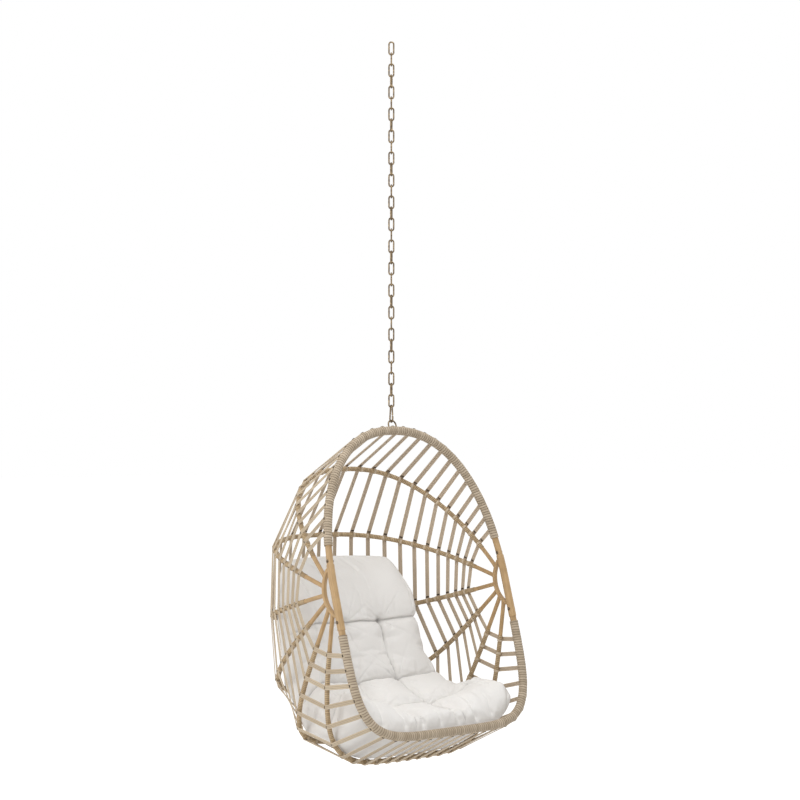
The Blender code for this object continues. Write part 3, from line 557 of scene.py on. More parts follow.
def superellipse(
    half_width: float, root: float, reach: float, squareness: float, steps: int = 400
) -> list[Vector]:
    """A quarter of a superellipse from (half_width, root) to (0, reach), in two dimensions.

    Args:
        half_width: where it ends on the first axis.
        root: how high it ends there.
        reach: how high it is in the middle.
        squareness: 2 for an ellipse, and more for a squarer curve.
        steps: points less one.

    Returns:
        The points from the side to the middle.
    """
    quarter = []
    for step in range(steps + 1):
        turn = math.pi / 2 * step / steps
        across, along = math.cos(turn), math.sin(turn)
        scale = (across**squareness + along**squareness) ** (-1 / squareness)
        quarter.append(Vector((half_width * scale * across, root + (reach - root) * scale * along)))
    return quarter


def drawn(bm: BMesh, points: Iterable[Sequence[float]], closed: bool = False) -> list[BMVert]:
    """Draw points, with an edge from each to the next.

    Args:
        bm: the bmesh.
        points: the points in order.
        closed: whether an edge runs from the last to the first.

    Returns:
        The new points.
    """
    verts = [bm.verts.new(point) for point in points]
    for first, second in zip(verts, verts[1:] + (verts[:1] if closed else [])):
        bm.edges.new((first, second))
    return verts


def spun(bm: BMesh, steps: int, rise: float = 0.0, angle: float = 0.0, merged: bool = False) -> None:
    """Draw what is in a bmesh along Z, round it, or both.

    Args:
        bm: the bmesh, which holds only points and edges.
        steps: how many times it is drawn.
        rise: how far up each time.
        angle: how far round in all, in radians.
        merged: whether the last is joined to the first.
    """
    bmesh.ops.spin(
        bm,
        geom=bm.verts[:] + bm.edges[:],
        cent=(0, 0, 0),
        axis=(0, 0, 1),
        dvec=(0, 0, rise),
        angle=angle,
        steps=steps,
        use_merge=merged,
        use_duplicate=False,
    )


def run_out(bm: BMesh, steps: int, rise: float = 1.0, capped: bool = True) -> BMesh:
    """Draw the loop of edges in a bmesh out along Z.

    Args:
        bm: the bmesh, which holds only the loop.
        steps: how many times it is drawn out.
        rise: how far each time.
        capped: whether both ends are filled.

    Returns:
        The same bmesh.
    """
    spun(bm, steps, rise)
    if capped:
        bmesh.ops.holes_fill(bm, edges=bm.edges[:], sides=0)
    return bm


def round_stock(radius: float, steps: int, sides: int, capped: bool = True) -> BMesh:
    """Straight round bar, one step between its rings.

    Args:
        radius: the bar's radius.
        steps: its length.
        sides: faces round it.
        capped: whether its ends are closed.

    Returns:
        The bar.
    """
    bm = bmesh.new()
    bmesh.ops.create_circle(bm, segments=sides, radius=radius)
    return run_out(bm, steps, capped=capped)


def flat_stock(width: float, depth: float, corner: float, steps: int, segments: int = 3) -> BMesh:
    """Straight bar of rectangular section with rounded corners.

    Args:
        width: its size across.
        depth: its size the other way.
        corner: how much of each corner is rounded.
        steps: its length.
        segments: faces round a corner.

    Returns:
        The bar.
    """
    bm = bmesh.new()
    bmesh.ops.create_grid(bm, x_segments=1, y_segments=1, size=0.5)
    bmesh.ops.scale(bm, vec=(width, depth, 1), verts=bm.verts)
    bmesh.ops.bevel(
        bm,
        geom=bm.verts[:],
        offset=corner,
        offset_type="OFFSET",
        segments=segments,
        profile=0.5,
        affect="VERTICES",
        material=-1,
    )
    bmesh.ops.delete(bm, geom=bm.faces[:], context="FACES_ONLY")
    return run_out(bm, steps)


def bend(bm: BMesh, line: Line, taper: Taper | None = None) -> BMesh:
    """Bend straight stock along a line, and keep its straight coordinates as its grain.

    Args:
        bm: the stock, with Z in steps.
        line: the line.
        taper: scale of the section at a length, or None.

    Returns:
        The same bmesh.
    """
    grain = bm.verts.layers.float_vector.get("grain") or bm.verts.layers.float_vector.new("grain")
    for vert in bm.verts:
        station = line.at(vert.co.z)
        scale = taper(station.length) if taper else 1.0
        vert[grain] = (vert.co.x, vert.co.y, station.length)
        vert.co = station.origin + (station.side * vert.co.x + station.rise * vert.co.y) * scale
    return bm


@dataclass(frozen=True)
class Winding:
    """Peel wound tightly round a bar, one turn beside the other."""

    radius: float
    bore: float
    pitch: float
    ridge: float
    sides: int
    seed: int
    profile: tuple[tuple[float, float], ...] = (
        (0.0, 0.0),
        (0.14, 0.62),
        (0.34, 1.0),
        (0.66, 1.0),
        (0.86, 0.62),
        (1.0, 0.0),
    )

    def stock(self, line: Line) -> BMesh:
        """Wind a straight sleeve as long as a line, with its crests and tones marked.

        Args:
            line: the line that it will be bent along.

        Returns:
            The sleeve, with Z in the line's steps.
        """
        chance = random.Random(self.seed)
        steps = line.steps
        pitch = self.pitch / (line.length / steps)
        bm = bmesh.new()
        crest = bm.verts.layers.float.new("crest")
        tone = bm.faces.layers.float.new("tone")
        foot = self.radius - self.ridge
        profile = [(foot + self.ridge * height, 0, (share - 1) * pitch) for share, height in self.profile]
        # The crest runs from 0 in the groove between turns to 1 on top; the peel's material paints shade
        # where it is low.
        for vert, (_, height) in zip(drawn(bm, profile), self.profile):
            vert[crest] = height
        spun(bm, self.sides, pitch / self.sides, 2 * math.pi)
        turn = bm.verts[:] + bm.edges[:] + bm.faces[:]
        for number in range(1, math.ceil(steps / pitch) + 2):
            made = bmesh.ops.duplicate(bm, geom=turn)["geom"]
            moved = [piece for piece in made if isinstance(piece, BMVert)]
            bmesh.ops.translate(bm, vec=(0, 0, pitch * number), verts=moved)
            shade = chance.random()
            for piece in made:
                if isinstance(piece, BMFace):
                    piece[tone] = shade
        bmesh.ops.remove_doubles(bm, verts=bm.verts[:], dist=0.00002)
        for vert in bm.verts:
            sway = noise.noise(Vector((vert.co.x * 40, vert.co.y * 40, vert.co.z * 0.31 + self.seed)))
            swell = noise.noise(Vector((vert.co.x * 25, vert.co.y * 25, vert.co.z * 0.11 - self.seed)))
            vert.co.z += 0.16 * pitch * sway
            vert.co.xy *= 1 + self.ridge / self.radius * (0.3 * swell + 0.12 * sway)
        for height, facing in ((0.0, -1), (float(steps), 1)):
            bmesh.ops.bisect_plane(
                bm,
                geom=bm.verts[:] + bm.edges[:] + bm.faces[:],
                dist=0.00001,
                plane_co=(0, 0, height),
                plane_no=(0, 0, facing),
                clear_outer=True,
            )
        self.close(bm, steps)
        return bm

    def close(self, bm: BMesh, steps: int) -> None:
        """Give the sleeve its bore and its two end faces.

        Args:
            bm: the open sleeve.
            steps: its length.
        """
        rings = max(2, steps // 2)
        core = bmesh.new()
        bmesh.ops.create_circle(core, segments=self.sides, radius=self.bore)
        run_out(core, rings, steps / rings, capped=False)
        mesh = bpy.data.meshes.new("bore")
        core.to_mesh(mesh)
        core.free()
        bm.from_mesh(mesh)
        bpy.data.meshes.remove(mesh)
        for height in (0.0, float(steps)):
            ends = [
                edge
                for edge in bm.edges
                if edge.is_boundary and all(abs(vert.co.z - height) < 0.001 for vert in edge.verts)
            ]
            bmesh.ops.bridge_loops(bm, edges=ends)


def add_piece(
    name: str,
    bm: BMesh,
    finish: Material,
    body: str,
    place: Matrix | None = None,
    stands_for: Iterable[str] = (),
    crease: float = 50.0,
) -> Object:
    """Turn a bmesh into a piece that rides on a body.

    Args:
        name: the piece's name.
        bm: its shape, which is used up.
        finish: its material.
        body: the body that it rides on.
        place: what takes the shape to the model's frame.
        stands_for: the model's nodes that it replaces.
        crease: the angle in degrees over which an edge stays sharp.

    Returns:
        The new object, at the origin.
    """
    if place is not None:
        bm.transform(place)
    bmesh.ops.recalc_face_normals(bm, faces=bm.faces[:])
    mesh = bpy.data.meshes.new(name)
    bm.to_mesh(mesh)
    bm.free()
    mesh.materials.append(finish)
    mesh.shade_smooth()
    mesh.set_sharp_from_angle(angle=math.radians(crease))
    piece = bpy.data.objects.new(name, mesh)
    bpy.context.scene.collection.objects.link(piece)
    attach(piece, body)
    if stands_for:
        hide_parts(*stands_for)
    LOG.info("%s: %d faces on %s", name, len(mesh.polygons), body)
    return piece


def poured(target: BMesh, source: BMesh, place: Matrix | None = None) -> None:
    """Add one bmesh to another, in a new place if one is given, and free it.

    Args:
        target: the bmesh that grows.
        source: the bmesh that is used up.
        place: what moves the source's points.
    """
    if place is not None:
        source.transform(place)
    mesh = bpy.data.meshes.new("poured")
    source.to_mesh(mesh)
    source.free()
    target.from_mesh(mesh)
    bpy.data.meshes.remove(mesh)


def turned(profile: Sequence[tuple[float, float]], sides: int) -> BMesh:
    """A turned shape about Z from (radius, height) points; its ends lie on the axis.

    Args:
        profile: the points in order.
        sides: how many faces there are round it.

    Returns:
        The closed shape.
    """
    bm = bmesh.new()
    drawn(bm, [(radius, 0, height) for radius, height in profile])
    spun(bm, sides, angle=2 * math.pi, merged=True)
    bmesh.ops.remove_doubles(bm, verts=bm.verts[:], dist=0.000001)
    return bm


def aimed(direction: Vector, place: Vector) -> Matrix:
    """The matrix that turns +Z to a direction and then moves to a place."""
    return Matrix.Translation(place) @ direction.to_track_quat("Z", "Y").to_matrix().to_4x4()


# Chain, hook and loop


@dataclass
class Chain:
    """Long links that hang in each other, each turned about a quarter from the one above."""

    links: int = 33
    wire: float = 0.006
    pitch: float = 0.042
    room: float = 0.006
    clearance: float = 0.0005
    yaws: tuple[float, ...] = (-41.0, 49.0, -41.0, 36.0)
    weld_swell: float = 0.10
    weld_length: float = 0.0032
    rings: int = 52
    sides: int = 14

    @property
    def inner(self) -> float:
        """A link's inside length."""
        return self.pitch + self.clearance

    @property
    def last_wire(self) -> float:
        """The height of the last link's lower wire, where the hook turns."""
        return -self.inner - self.wire / 2 - (self.links - 1) * self.pitch

    def link_shape(self) -> BMesh:
        """One link in the XZ plane about its own middle, with its weld.

        Returns:
            The link.
        """
        radius = (2 * self.wire + self.room) / 2
        straight = self.inner / 2 + self.wire / 2 - radius
        upper = arc(Vector((0, 0, straight)), radius, 0, 180, 24)
        lower = arc(Vector((0, 0, -straight)), radius, 180, 360, 24)
        outline = upper + lower + upper[:1]
        points = spaced(outline, lengths_of(outline)[-1] / self.rings)
        line = Line.flat(points, BACK, closed=True)
        weld_at = math.pi * radius + straight

        def swell(length: float) -> float:
            """The section's scale at the weld in the middle of one side."""
            return 1 + self.weld_swell * math.exp(-(((length - weld_at) / self.weld_length) ** 2))

        bm = bend(round_stock(self.wire / 2, line.steps, self.sides, capped=False), line, swell)
        bmesh.ops.remove_doubles(bm, verts=bm.verts[:], dist=0.00001)
        return bm

    def build(self, finish: Material) -> None:
        """Make every link in its place.

        Args:
            finish: the links' material.
        """
        for number in range(self.links):
            yaw = Matrix.Rotation(math.radians(self.yaws[number % len(self.yaws)]), 4, "Z")
            place = Matrix.Translation((0, 0, -self.inner / 2 - self.pitch * number)) @ yaw
            name = f"link_{number + 1:02d}"
            node = f"chain_{name}"
            add_piece(name, self.link_shape(), finish, node, place, [node])


@dataclass
class SnapHook:
    """Pear-shaped hook of bent wire with a sprung gate in its straight left side."""

    last_wire: float
    wire: float = 0.006
    length: float = 0.070
    link_wire: float = 0.006
    eye_room: float = 0.0015
    foot_radius: float = 0.0135
    eye_clearance: float = 0.0012
    yaw: float = 72.0
    gate_start: float = 0.18
    gate_end: float = 0.78
    lug_radius: float = 0.0024
    lug_thickness: float = 0.0026
    pin_radius: float = 0.0009
    clearance: float = 0.0003

    def __post_init__(self) -> None:
        """Work out the two arcs and the gate's line."""
        self.head_radius = (self.link_wire + self.wire) / 2 + self.eye_room
        crown = (self.link_wire + self.wire) / 2 + self.eye_clearance
        self.foot = crown - (self.length - self.wire)
        self.head = Vector((0, 0, crown - self.head_radius))
        self.heel = Vector((0, 0, self.foot + self.foot_radius))
        self.lean = math.asin((self.foot_radius - self.head_radius) / (self.head.z - self.heel.z))
        outward = Vector((-math.cos(self.lean), 0, math.sin(self.lean)))
        top = self.head + self.head_radius * outward
        bottom = self.heel + self.foot_radius * outward
        self.pivot = top.lerp(bottom, self.gate_start)
        self.nose = top.lerp(bottom, self.gate_end)
        self.along = (self.nose - self.pivot).normalized()
        turn = Matrix.Rotation(math.radians(self.yaw), 4, "Z")
        self.place = Matrix.Translation((0, 0, self.last_wire)) @ turn

    def lug_plate(self, thickness: float, depth: float, reach: float, up: bool) -> BMesh:
        """A plate round the pivot with one round end.

        Args:
            thickness: across the hook's plane.
            depth: where its middle lies across the plane.
            reach: how far its straight part runs from the pivot.
            up: whether it runs towards the hook's head.

        Returns:
            The plate in the hook's frame.
        """
        bm = bmesh.new()
        bmesh.ops.create_circle(bm, cap_ends=True, segments=28, radius=self.lug_radius)
        for vert in bm.verts:
            if vert.co.y > 0:
                vert.co.y += reach
        solid = bmesh.ops.extrude_face_region(bm, geom=bm.faces[:])["geom"]
        moved = [piece for piece in solid if isinstance(piece, BMVert)]
        bmesh.ops.translate(bm, vec=(0, 0, thickness), verts=moved)
        bmesh.ops.translate(bm, vec=(0, 0, depth - thickness / 2), verts=bm.verts)
        run = -self.along if up else self.along
        turn = Matrix((run.cross(BACK), run, BACK)).transposed().to_4x4()
        bm.transform(Matrix.Translation(self.pivot) @ turn)
        return bm

    def body_shape(self) -> BMesh:
        """The bent wire, its rounded nose and the tongue that the gate turns on.

        Returns:
            The body.
        """
        lean = math.degrees(self.lean)
        start = self.pivot - self.along * (self.lug_radius + self.clearance)
        head = arc(self.head, self.head_radius, 180 - lean, lean, 28)
        heel = arc(self.heel, self.foot_radius, lean, -180 - lean, 48)
        outline = [start, *head, *heel, self.nose + self.along * (self.clearance + 0.0004)]
        points = spaced(outline, 0.0015)
        line = Line.flat(points, BACK)
        whole = line.length

        def nosed(length: float) -> float:
            """The wire's scale: rounded ends and a slightly swollen nose."""
            left = max(whole - length, 0.0)
            nose = 1 + 0.12 * math.exp(-(((left - 0.004) / 0.0035) ** 2))
            end = min(1.0, math.sqrt(max(0.04, 1 - (1 - min(left, 0.0014) / 0.0014) ** 2)))
            root = min(1.0, 0.55 + 0.45 * min(length, 0.0015) / 0.0015)
            return nose * end * root

        bm = bend(round_stock(self.wire / 2, line.steps, 18), line, nosed)
        poured(bm, self.lug_plate(self.lug_thickness, 0.0, 0.0042, True))
        return bm

    def gate_shape(self) -> BMesh:
        """The gate: a round bar, forked round the tongue, rounded at its free end.

        Returns:
            The gate.
        """
        root = self.pivot + self.along * (self.lug_radius + 0.0006)
        end = self.nose - self.along * 0.0002
        line = Line.flat(spaced([root, end], 0.0008), BACK)
        whole = line.length

        def rounded(length: float) -> float:
            """The bar's scale, rounded at both ends."""
            near = min(length, whole - length, 0.0016) / 0.0016
            return 0.5 + 0.5 * math.sqrt(max(0.0, 1 - (1 - near) ** 2))

        bm = bend(round_stock(self.wire / 2, line.steps, 18), line, rounded)
        cheek = (self.wire * 0.9 - self.lug_thickness) / 2 - self.clearance
        for sign in (-1, 1):
            depth = sign * (self.lug_thickness / 2 + self.clearance + cheek / 2)
            poured(bm, self.lug_plate(cheek, depth, 0.0040, False))
        return bm

    def pin_shape(self) -> BMesh:
        """The pin through tongue and fork, with a domed head at each end.

        Returns:
            The pin.
        """
        half = 0.0033
        neck = half - 0.0006
        domed = [(0, half), (0.0009, half - 0.00015), (0.0014, neck), (self.pin_radius, neck)]
        profile = domed + [(radius, -height) for radius, height in domed[::-1]]
        bm = turned(profile, 16)
        bm.transform(aimed(BACK, self.pivot))
        return bm

    def build(self, finish: Material, spring: Material) -> None:
        """Make the hook, gate and pin, and dress the spring.

        Args:
            finish: the material of body, gate and pin.
            spring: the spring's material.
        """
        pieces = (
            ("hook_wire", self.body_shape(), HOOK_BODY, "snap_hook_body"),
            ("hook_gate", self.gate_shape(), GATE_BODY, "snap_hook_gate"),
            ("hook_pin", self.pin_shape(), HOOK_BODY, "snap_hook_pin"),
        )
        for name, shape, body, node in pieces:
            add_piece(name, shape, finish, body, self.place, [node])
        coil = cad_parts["snap_hook_spring"]
        coil.data.materials.clear()
        coil.data.materials.append(spring)


# Basket


@dataclass
class Basket:
    """The sizes that the basket's pieces share, and its outlines."""

    pivot: float
    lean: float = 16.4
    loop_height: float = 0.0408
    half_width: float = 0.427
    rise: float = 0.605
    drop: float = 0.545
    top_squareness: float = 2.28
    bottom_squareness: float = 5.2
    tube_radius: float = 0.0125
    wrap_radius: float = 0.0163
    arch_root: float = 0.055
    arch_radius: float = 0.0090
    arch_bare_radius: float = 0.0080
    post_top: float = 0.102
    post_bottom: float = 0.140
    arches: tuple[Triple, ...] = (
        (60.3, 0.6225, 2.35),
        (31.9, 0.631, 2.6),
        (2.3, 0.642, 2.6),
        (-24.3, 0.654, 3.8),
        (-46.9, 0.663, 5.2),
        (-65.9, 0.653, 4.4),
    )
    bow_depth: float = 0.058
    bow_half_height: float = 0.092
    bow_bar: float = 0.012

    def __post_init__(self) -> None:
        """Work out the frames, the bow's arc and the rim's line."""
        turn = Matrix.Rotation(math.radians(-self.lean), 4, "X")
        self.from_pivot = Matrix.Translation((0, 0, self.pivot)) @ turn
        self.from_hub = self.from_pivot @ Matrix.Translation((0, 0, -self.loop_height - self.rise))
        self.bow_radius = (self.bow_half_height**2 + self.bow_depth**2) / (2 * self.bow_depth)
        self.bow_centre = self.bow_depth - self.bow_radius
        top = superellipse(self.half_width, 0, self.rise, self.top_squareness)
        low = superellipse(self.half_width, 0, self.drop, self.bottom_squareness)
        upper = [Vector((-p.x, 0, p.y)) for p in top] + [Vector((p.x, 0, p.y)) for p in top[-2::-1]]
        lower = [Vector((p.x, 0, -p.y)) for p in low[1:]] + [Vector((-p.x, 0, -p.y)) for p in low[-2::-1]]
        self.rim = upper + lower
        self.rim_lengths = lengths_of(self.rim)
        self.upper_length = self.rim_lengths[len(upper) - 1]
        self.whole_length = self.rim_lengths[-1]

    def rim_points(self, start: float, end: float, step: float) -> list[Vector]:
        """Even points of the rim between two lengths from the left hub upwards; they may be under 0.

        Args:
            start: the first length in metres.
            end: the last length.
            step: metres from point to point.

        Returns:
            The points in the hub frame.
        """
        twice = [*self.rim[:-1], *self.rim]
        shift = self.whole_length if start < 0 else 0.0
        return spaced(twice, step, start + shift, end + shift)

    def rim_line(self, start: float, end: float, step: float) -> Line:
        """Line on the rim's centre, its section's first axis in the rim's plane."""
        return Line.flat(self.rim_points(start, end, step), BACK)

    def arch_outline(self, number: int) -> list[Vector]:
        """A whole arch as (x, reach) points, from the left hub to the right hub.

        Args:
            number: the arch, 0 at the top.

        Returns:
            The points.
        """
        _, reach, squareness = self.arches[number]
        half = superellipse(self.half_width, self.arch_root, reach, squareness)
        return [Vector((-point.x, point.y)) for point in half] + half[-2::-1]

    def lifted(self, point: Vector, number: int) -> Vector:
        """A point or direction of an arch's plane in the hub frame."""
        turn = math.radians(self.arches[number][0])
        return Vector((point.x, point.y * math.cos(turn), point.y * math.sin(turn)))

    def arch_normal(self, number: int) -> Vector:
        """The upward normal of an arch's plane."""
        turn = math.radians(self.arches[number][0])
        return Vector((0, -math.sin(turn), math.cos(turn)))

    def bow_reach(self, number: int, radius: float) -> float:
        """How far from the hub axis an arch's plane meets a circle about the bow's centre.

        Args:
            number: the arch, 0 at the top.
            radius: the circle's radius.

        Returns:
            The distance in metres.
        """
        turn = math.radians(self.arches[number][0])
        centre = self.bow_centre
        return centre * math.cos(turn) + math.sqrt(radius**2 - (centre * math.sin(turn)) ** 2)

    def add(
        self,
        name: str,
        bm: BMesh,
        finish: Material,
        nodes: Iterable[str] = (),
        slot: str | None = None,
        crease: float = 50.0,
    ) -> None:
        """Add a shape in the hub frame as a piece that rides on the basket.

        Args:
            name: the piece's name.
            bm: its shape, which is used up.
            finish: its material.
            nodes: the model's nodes that it replaces.
            slot: not used.
            crease: the angle in degrees over which an edge stays sharp.
        """
        add_piece(name, bm, finish, BASKET_BODY, self.from_hub, nodes, crease)


@dataclass
class RodLoop:
    """The bent rod on the rim's top that the hook holds."""

    basket: Basket
    wire: float = 0.006
    width: float = 0.043

    def build(self, finish: Material) -> None:
        """Bend the rod and stand it on the rim's tube.

        Args:
            finish: the loop's material.
        """
        radius = (self.width - self.wire) / 2
        foot = Vector((radius, 0, -self.basket.loop_height + self.basket.tube_radius * 0.6))
        crown = arc(Vector((0, 0, -radius)), radius, 0, 180, 40)
        points = spaced([foot, *crown, Vector((-foot.x, 0, foot.z))], 0.002)
        line = Line.flat(points, BACK)
        bm = bend(round_stock(self.wire / 2, line.steps, 18), line)
        place = self.basket.from_pivot
        add_piece("rod_loop", bm, finish, BASKET_BODY, place, ["hanging_loop"])


@dataclass
class Rim:
    """The two hoops of tube and the peel wound round each."""

    basket: Basket
    socket: float = 0.060
    upper_start: float = 0.172
    lower_start: float = 0.158
    pitch: float = 0.0098
    ridge: float = 0.0015
    sides: int = 26

    def stretch(self, hoop: Hoop, wound: bool) -> tuple[float, float]:
        """The two lengths between which a hoop's tube or winding lies.

        Args:
            hoop: which hoop.
            wound: true for its winding and false for its tube.

        Returns:
            Both lengths in metres, from the left hub upwards.
        """
        basket = self.basket
        if hoop is Hoop.UPPER:
            start = self.upper_start if wound else basket.post_top
            return start, basket.upper_length - start
        start = self.lower_start if wound else basket.post_bottom - self.socket
        return basket.upper_length + start, basket.whole_length - start

    def build(self, paint: Material, peel: Material) -> None:
        """Make both tubes and both windings.

        Args:
            paint: the tubes' material.
            peel: the windings' material.
        """
        basket = self.basket
        for seed, hoop in enumerate(Hoop, 11):
            word = hoop.value
            line = basket.rim_line(*self.stretch(hoop, wound=False), 0.010)
            tube = bend(round_stock(basket.tube_radius, line.steps, 24), line)
            basket.add(f"{word}_tube", tube, paint, [f"{word}_rim_tube"], "straw_paint")
            line = basket.rim_line(*self.stretch(hoop, wound=True), 0.008)
            outside, bore = basket.wrap_radius + 0.0002, basket.tube_radius + 0.0002
            winding = Winding(outside, bore, self.pitch, self.ridge, self.sides, seed)
            sleeve = bend(winding.stock(line), line)
            basket.add(f"{word}_winding", sleeve, peel, [f"{word}_rim_wrap"], "rim_wicker")


@dataclass
class HubBracket:
    """A post on the rim with a bowed bar behind it that holds the arches' ends, and its two fasteners."""

    basket: Basket
    side: Side
    post_radius: float = 0.0145
    bow_thickness: float = 0.018
    bow_corner: float = 0.0035
    weld_swell: float = 0.17
    rivet_rise: float = 0.012
    bolt_rise: float = 0.030
    head_radius: float = 0.0050
    head_height: float = 0.0026

    def along(self, height: float) -> float:
        """Length along the rim at a height over the hub on this side."""
        return height if self.side is Side.LEFT else self.basket.upper_length - height

    def post_shape(self) -> BMesh:
        """The post, with its rims eased.

        Returns:
            The post.
        """
        ends = self.along(-self.basket.post_bottom), self.along(self.basket.post_top)
        line = self.basket.rim_line(*sorted(ends), 0.0012)
        whole = line.length

        def eased(length: float) -> float:
            """The post's scale, a little less at both ends."""
            near = min(length, whole - length, 0.0014) / 0.0014
            return 0.90 + 0.10 * math.sqrt(max(0.0, 1 - (1 - near) ** 2))

        return bend(round_stock(self.post_radius, line.steps, 28), line, eased)

    def bow_shape(self) -> BMesh:
        """The bowed bar, swollen where it is welded to the post.

        Returns:
            The bar.
        """
        x = self.side.value * self.basket.half_width
        centre, radius = self.basket.bow_centre, self.basket.bow_radius
        reach = math.acos(-centre / radius) + math.radians(4)
        points = []
        for step in range(97):
            turn = reach * (step / 48 - 1)
            points.append(Vector((x, centre + radius * math.cos(turn), radius * math.sin(turn))))
        line = Line.flat(points, Vector((1, 0, 0)))
        weld_turn = math.acos((self.post_radius + 0.002 - centre) / radius)
        weld_at = radius * (reach - weld_turn)
        whole = line.length

        def welded(length: float) -> float:
            """The bar's scale, larger at the two welds."""
            near = min(length, whole - length) - weld_at
            return 1 + self.weld_swell * math.exp(-((near / 0.0042) ** 2))

        bm = flat_stock(self.basket.bow_bar, self.bow_thickness, self.bow_corner, line.steps)
        return bend(bm, line, welded)

    def fastener_shape(self, height: float, barrel: float) -> BMesh:
        """A pin across the rim with a washer and a domed, dimpled head on each side.

        Args:
            height: the place on the rim, as a height over the hub.
            barrel: the radius of what it holds.

        Returns:
            The fastener in the hub frame.
        """
        ends = self.along(height - 0.002), self.along(height + 0.002)
        before, centre = self.basket.rim_points(*sorted(ends), 0.001)[1:3]
        direction = (centre - before).normalized()
        outward = direction.cross(BACK).normalized()
        seat = barrel - 0.0006
        top = seat + 0.0009 + self.head_height
        radius = self.head_radius
        half = [
            (0.0, top - 0.0012),
            (radius * 0.30, top - 0.0012),
            (radius * 0.42, top - 0.0001),
            (radius * 0.62, top - 0.0003),
            (radius * 0.86, top - 0.0010),
            (radius * 0.97, top - 0.0021),
            (radius * 0.97, seat + 0.0009),
            (radius * 1.30, seat + 0.0008),
            (radius * 1.34, seat),
            (0.0024, seat),
        ]
        bm = turned(half + [(r, -z) for r, z in half[::-1]], 20)
        bm.transform(aimed(outward, centre))
        return bm

    def build(self, paint: Material, metal: Material) -> None:
        """Make the bracket and its two fasteners.

        Args:
            paint: the bracket's material.
            metal: the fasteners' material.
        """
        word = self.side.word
        basket = self.basket
        bm = self.post_shape()
        poured(bm, self.bow_shape())
        basket.add(f"{word}_bracket", bm, paint, [f"{word}_hub_bracket"], "straw_paint")
        fasteners = (
            ("upper_rivet", basket.post_top + self.rivet_rise, basket.tube_radius),
            ("lower_bolt", self.bolt_rise - basket.post_bottom, self.post_radius),
        )
        for name, height, barrel in fasteners:
            node = f"{word}_{name}"
            shape = self.fastener_shape(height, barrel)
            basket.add(f"{node}_heads", shape, metal, [node], "fastener_bronze")


@dataclass
class Arches:
    """Six bars from bow to bow, bare at their ends and wound with peel between."""

    basket: Basket
    bare_lengths: tuple[float, ...] = (0.120, 0.120, 0.120, 0.125, 0.160, 0.160)
    flare: float = 0.16
    flare_length: float = 0.009
    sunk: float = 0.0035
    pitch: float = 0.0070
    ridge: float = 0.0010
    sides: int = 16
    first_seed: int = 31

    def line(self, number: int, inset: float, step: float) -> Line:
        """The line on an arch that leaves out the same length at both ends.

        Args:
            number: the arch, 0 at the top.
            inset: metres left out at each end.
            step: metres from station to station.

        Returns:
            The line.
        """
        outline = self.basket.arch_outline(number)
        points = spaced(outline, step, inset, lengths_of(outline)[-1] - inset)
        lifted = [self.basket.lifted(point, number) for point in points]
        return Line.flat(lifted, self.basket.arch_normal(number))

    def bar_shape(self, number: int) -> BMesh:
        """An arch's bar, flared where it is welded to the bows.

        Args:
            number: the arch, 0 at the top.

        Returns:
            The bar.
        """
        basket = self.basket
        weld = basket.bow_reach(number, basket.bow_radius + basket.bow_bar / 2)
        line = self.line(number, weld - basket.arch_root - self.sunk, 0.006)

        def flared(length: float) -> float:
            """The bar's scale, larger at its two ends."""
            near = min(length, line.length - length)
            return 1 + self.flare * math.exp(-((near / self.flare_length) ** 2))

        return bend(round_stock(basket.arch_bare_radius, line.steps, 18), line, flared)

    def build(self, paint: Material, peel: Material) -> None:
        """Make each arch's bar and its winding.

        Args:
            paint: the bars' material.
            peel: the windings' material.
        """
        basket = self.basket
        outside, bore = basket.arch_radius + 0.0003, basket.arch_bare_radius + 0.0001
        for number, bare in enumerate(self.bare_lengths):
            node = f"arch_{number + 1}"
            basket.add(f"{node}_bar", self.bar_shape(number), paint, slot="straw_paint")
            line = self.line(number, bare, 0.008)
            seed = self.first_seed + number
            winding = Winding(outside, bore, self.pitch, self.ridge, self.sides, seed)
            sleeve = bend(winding.stock(line), line)
            basket.add(f"{node}_winding", sleeve, peel, [node], "arch_wicker")


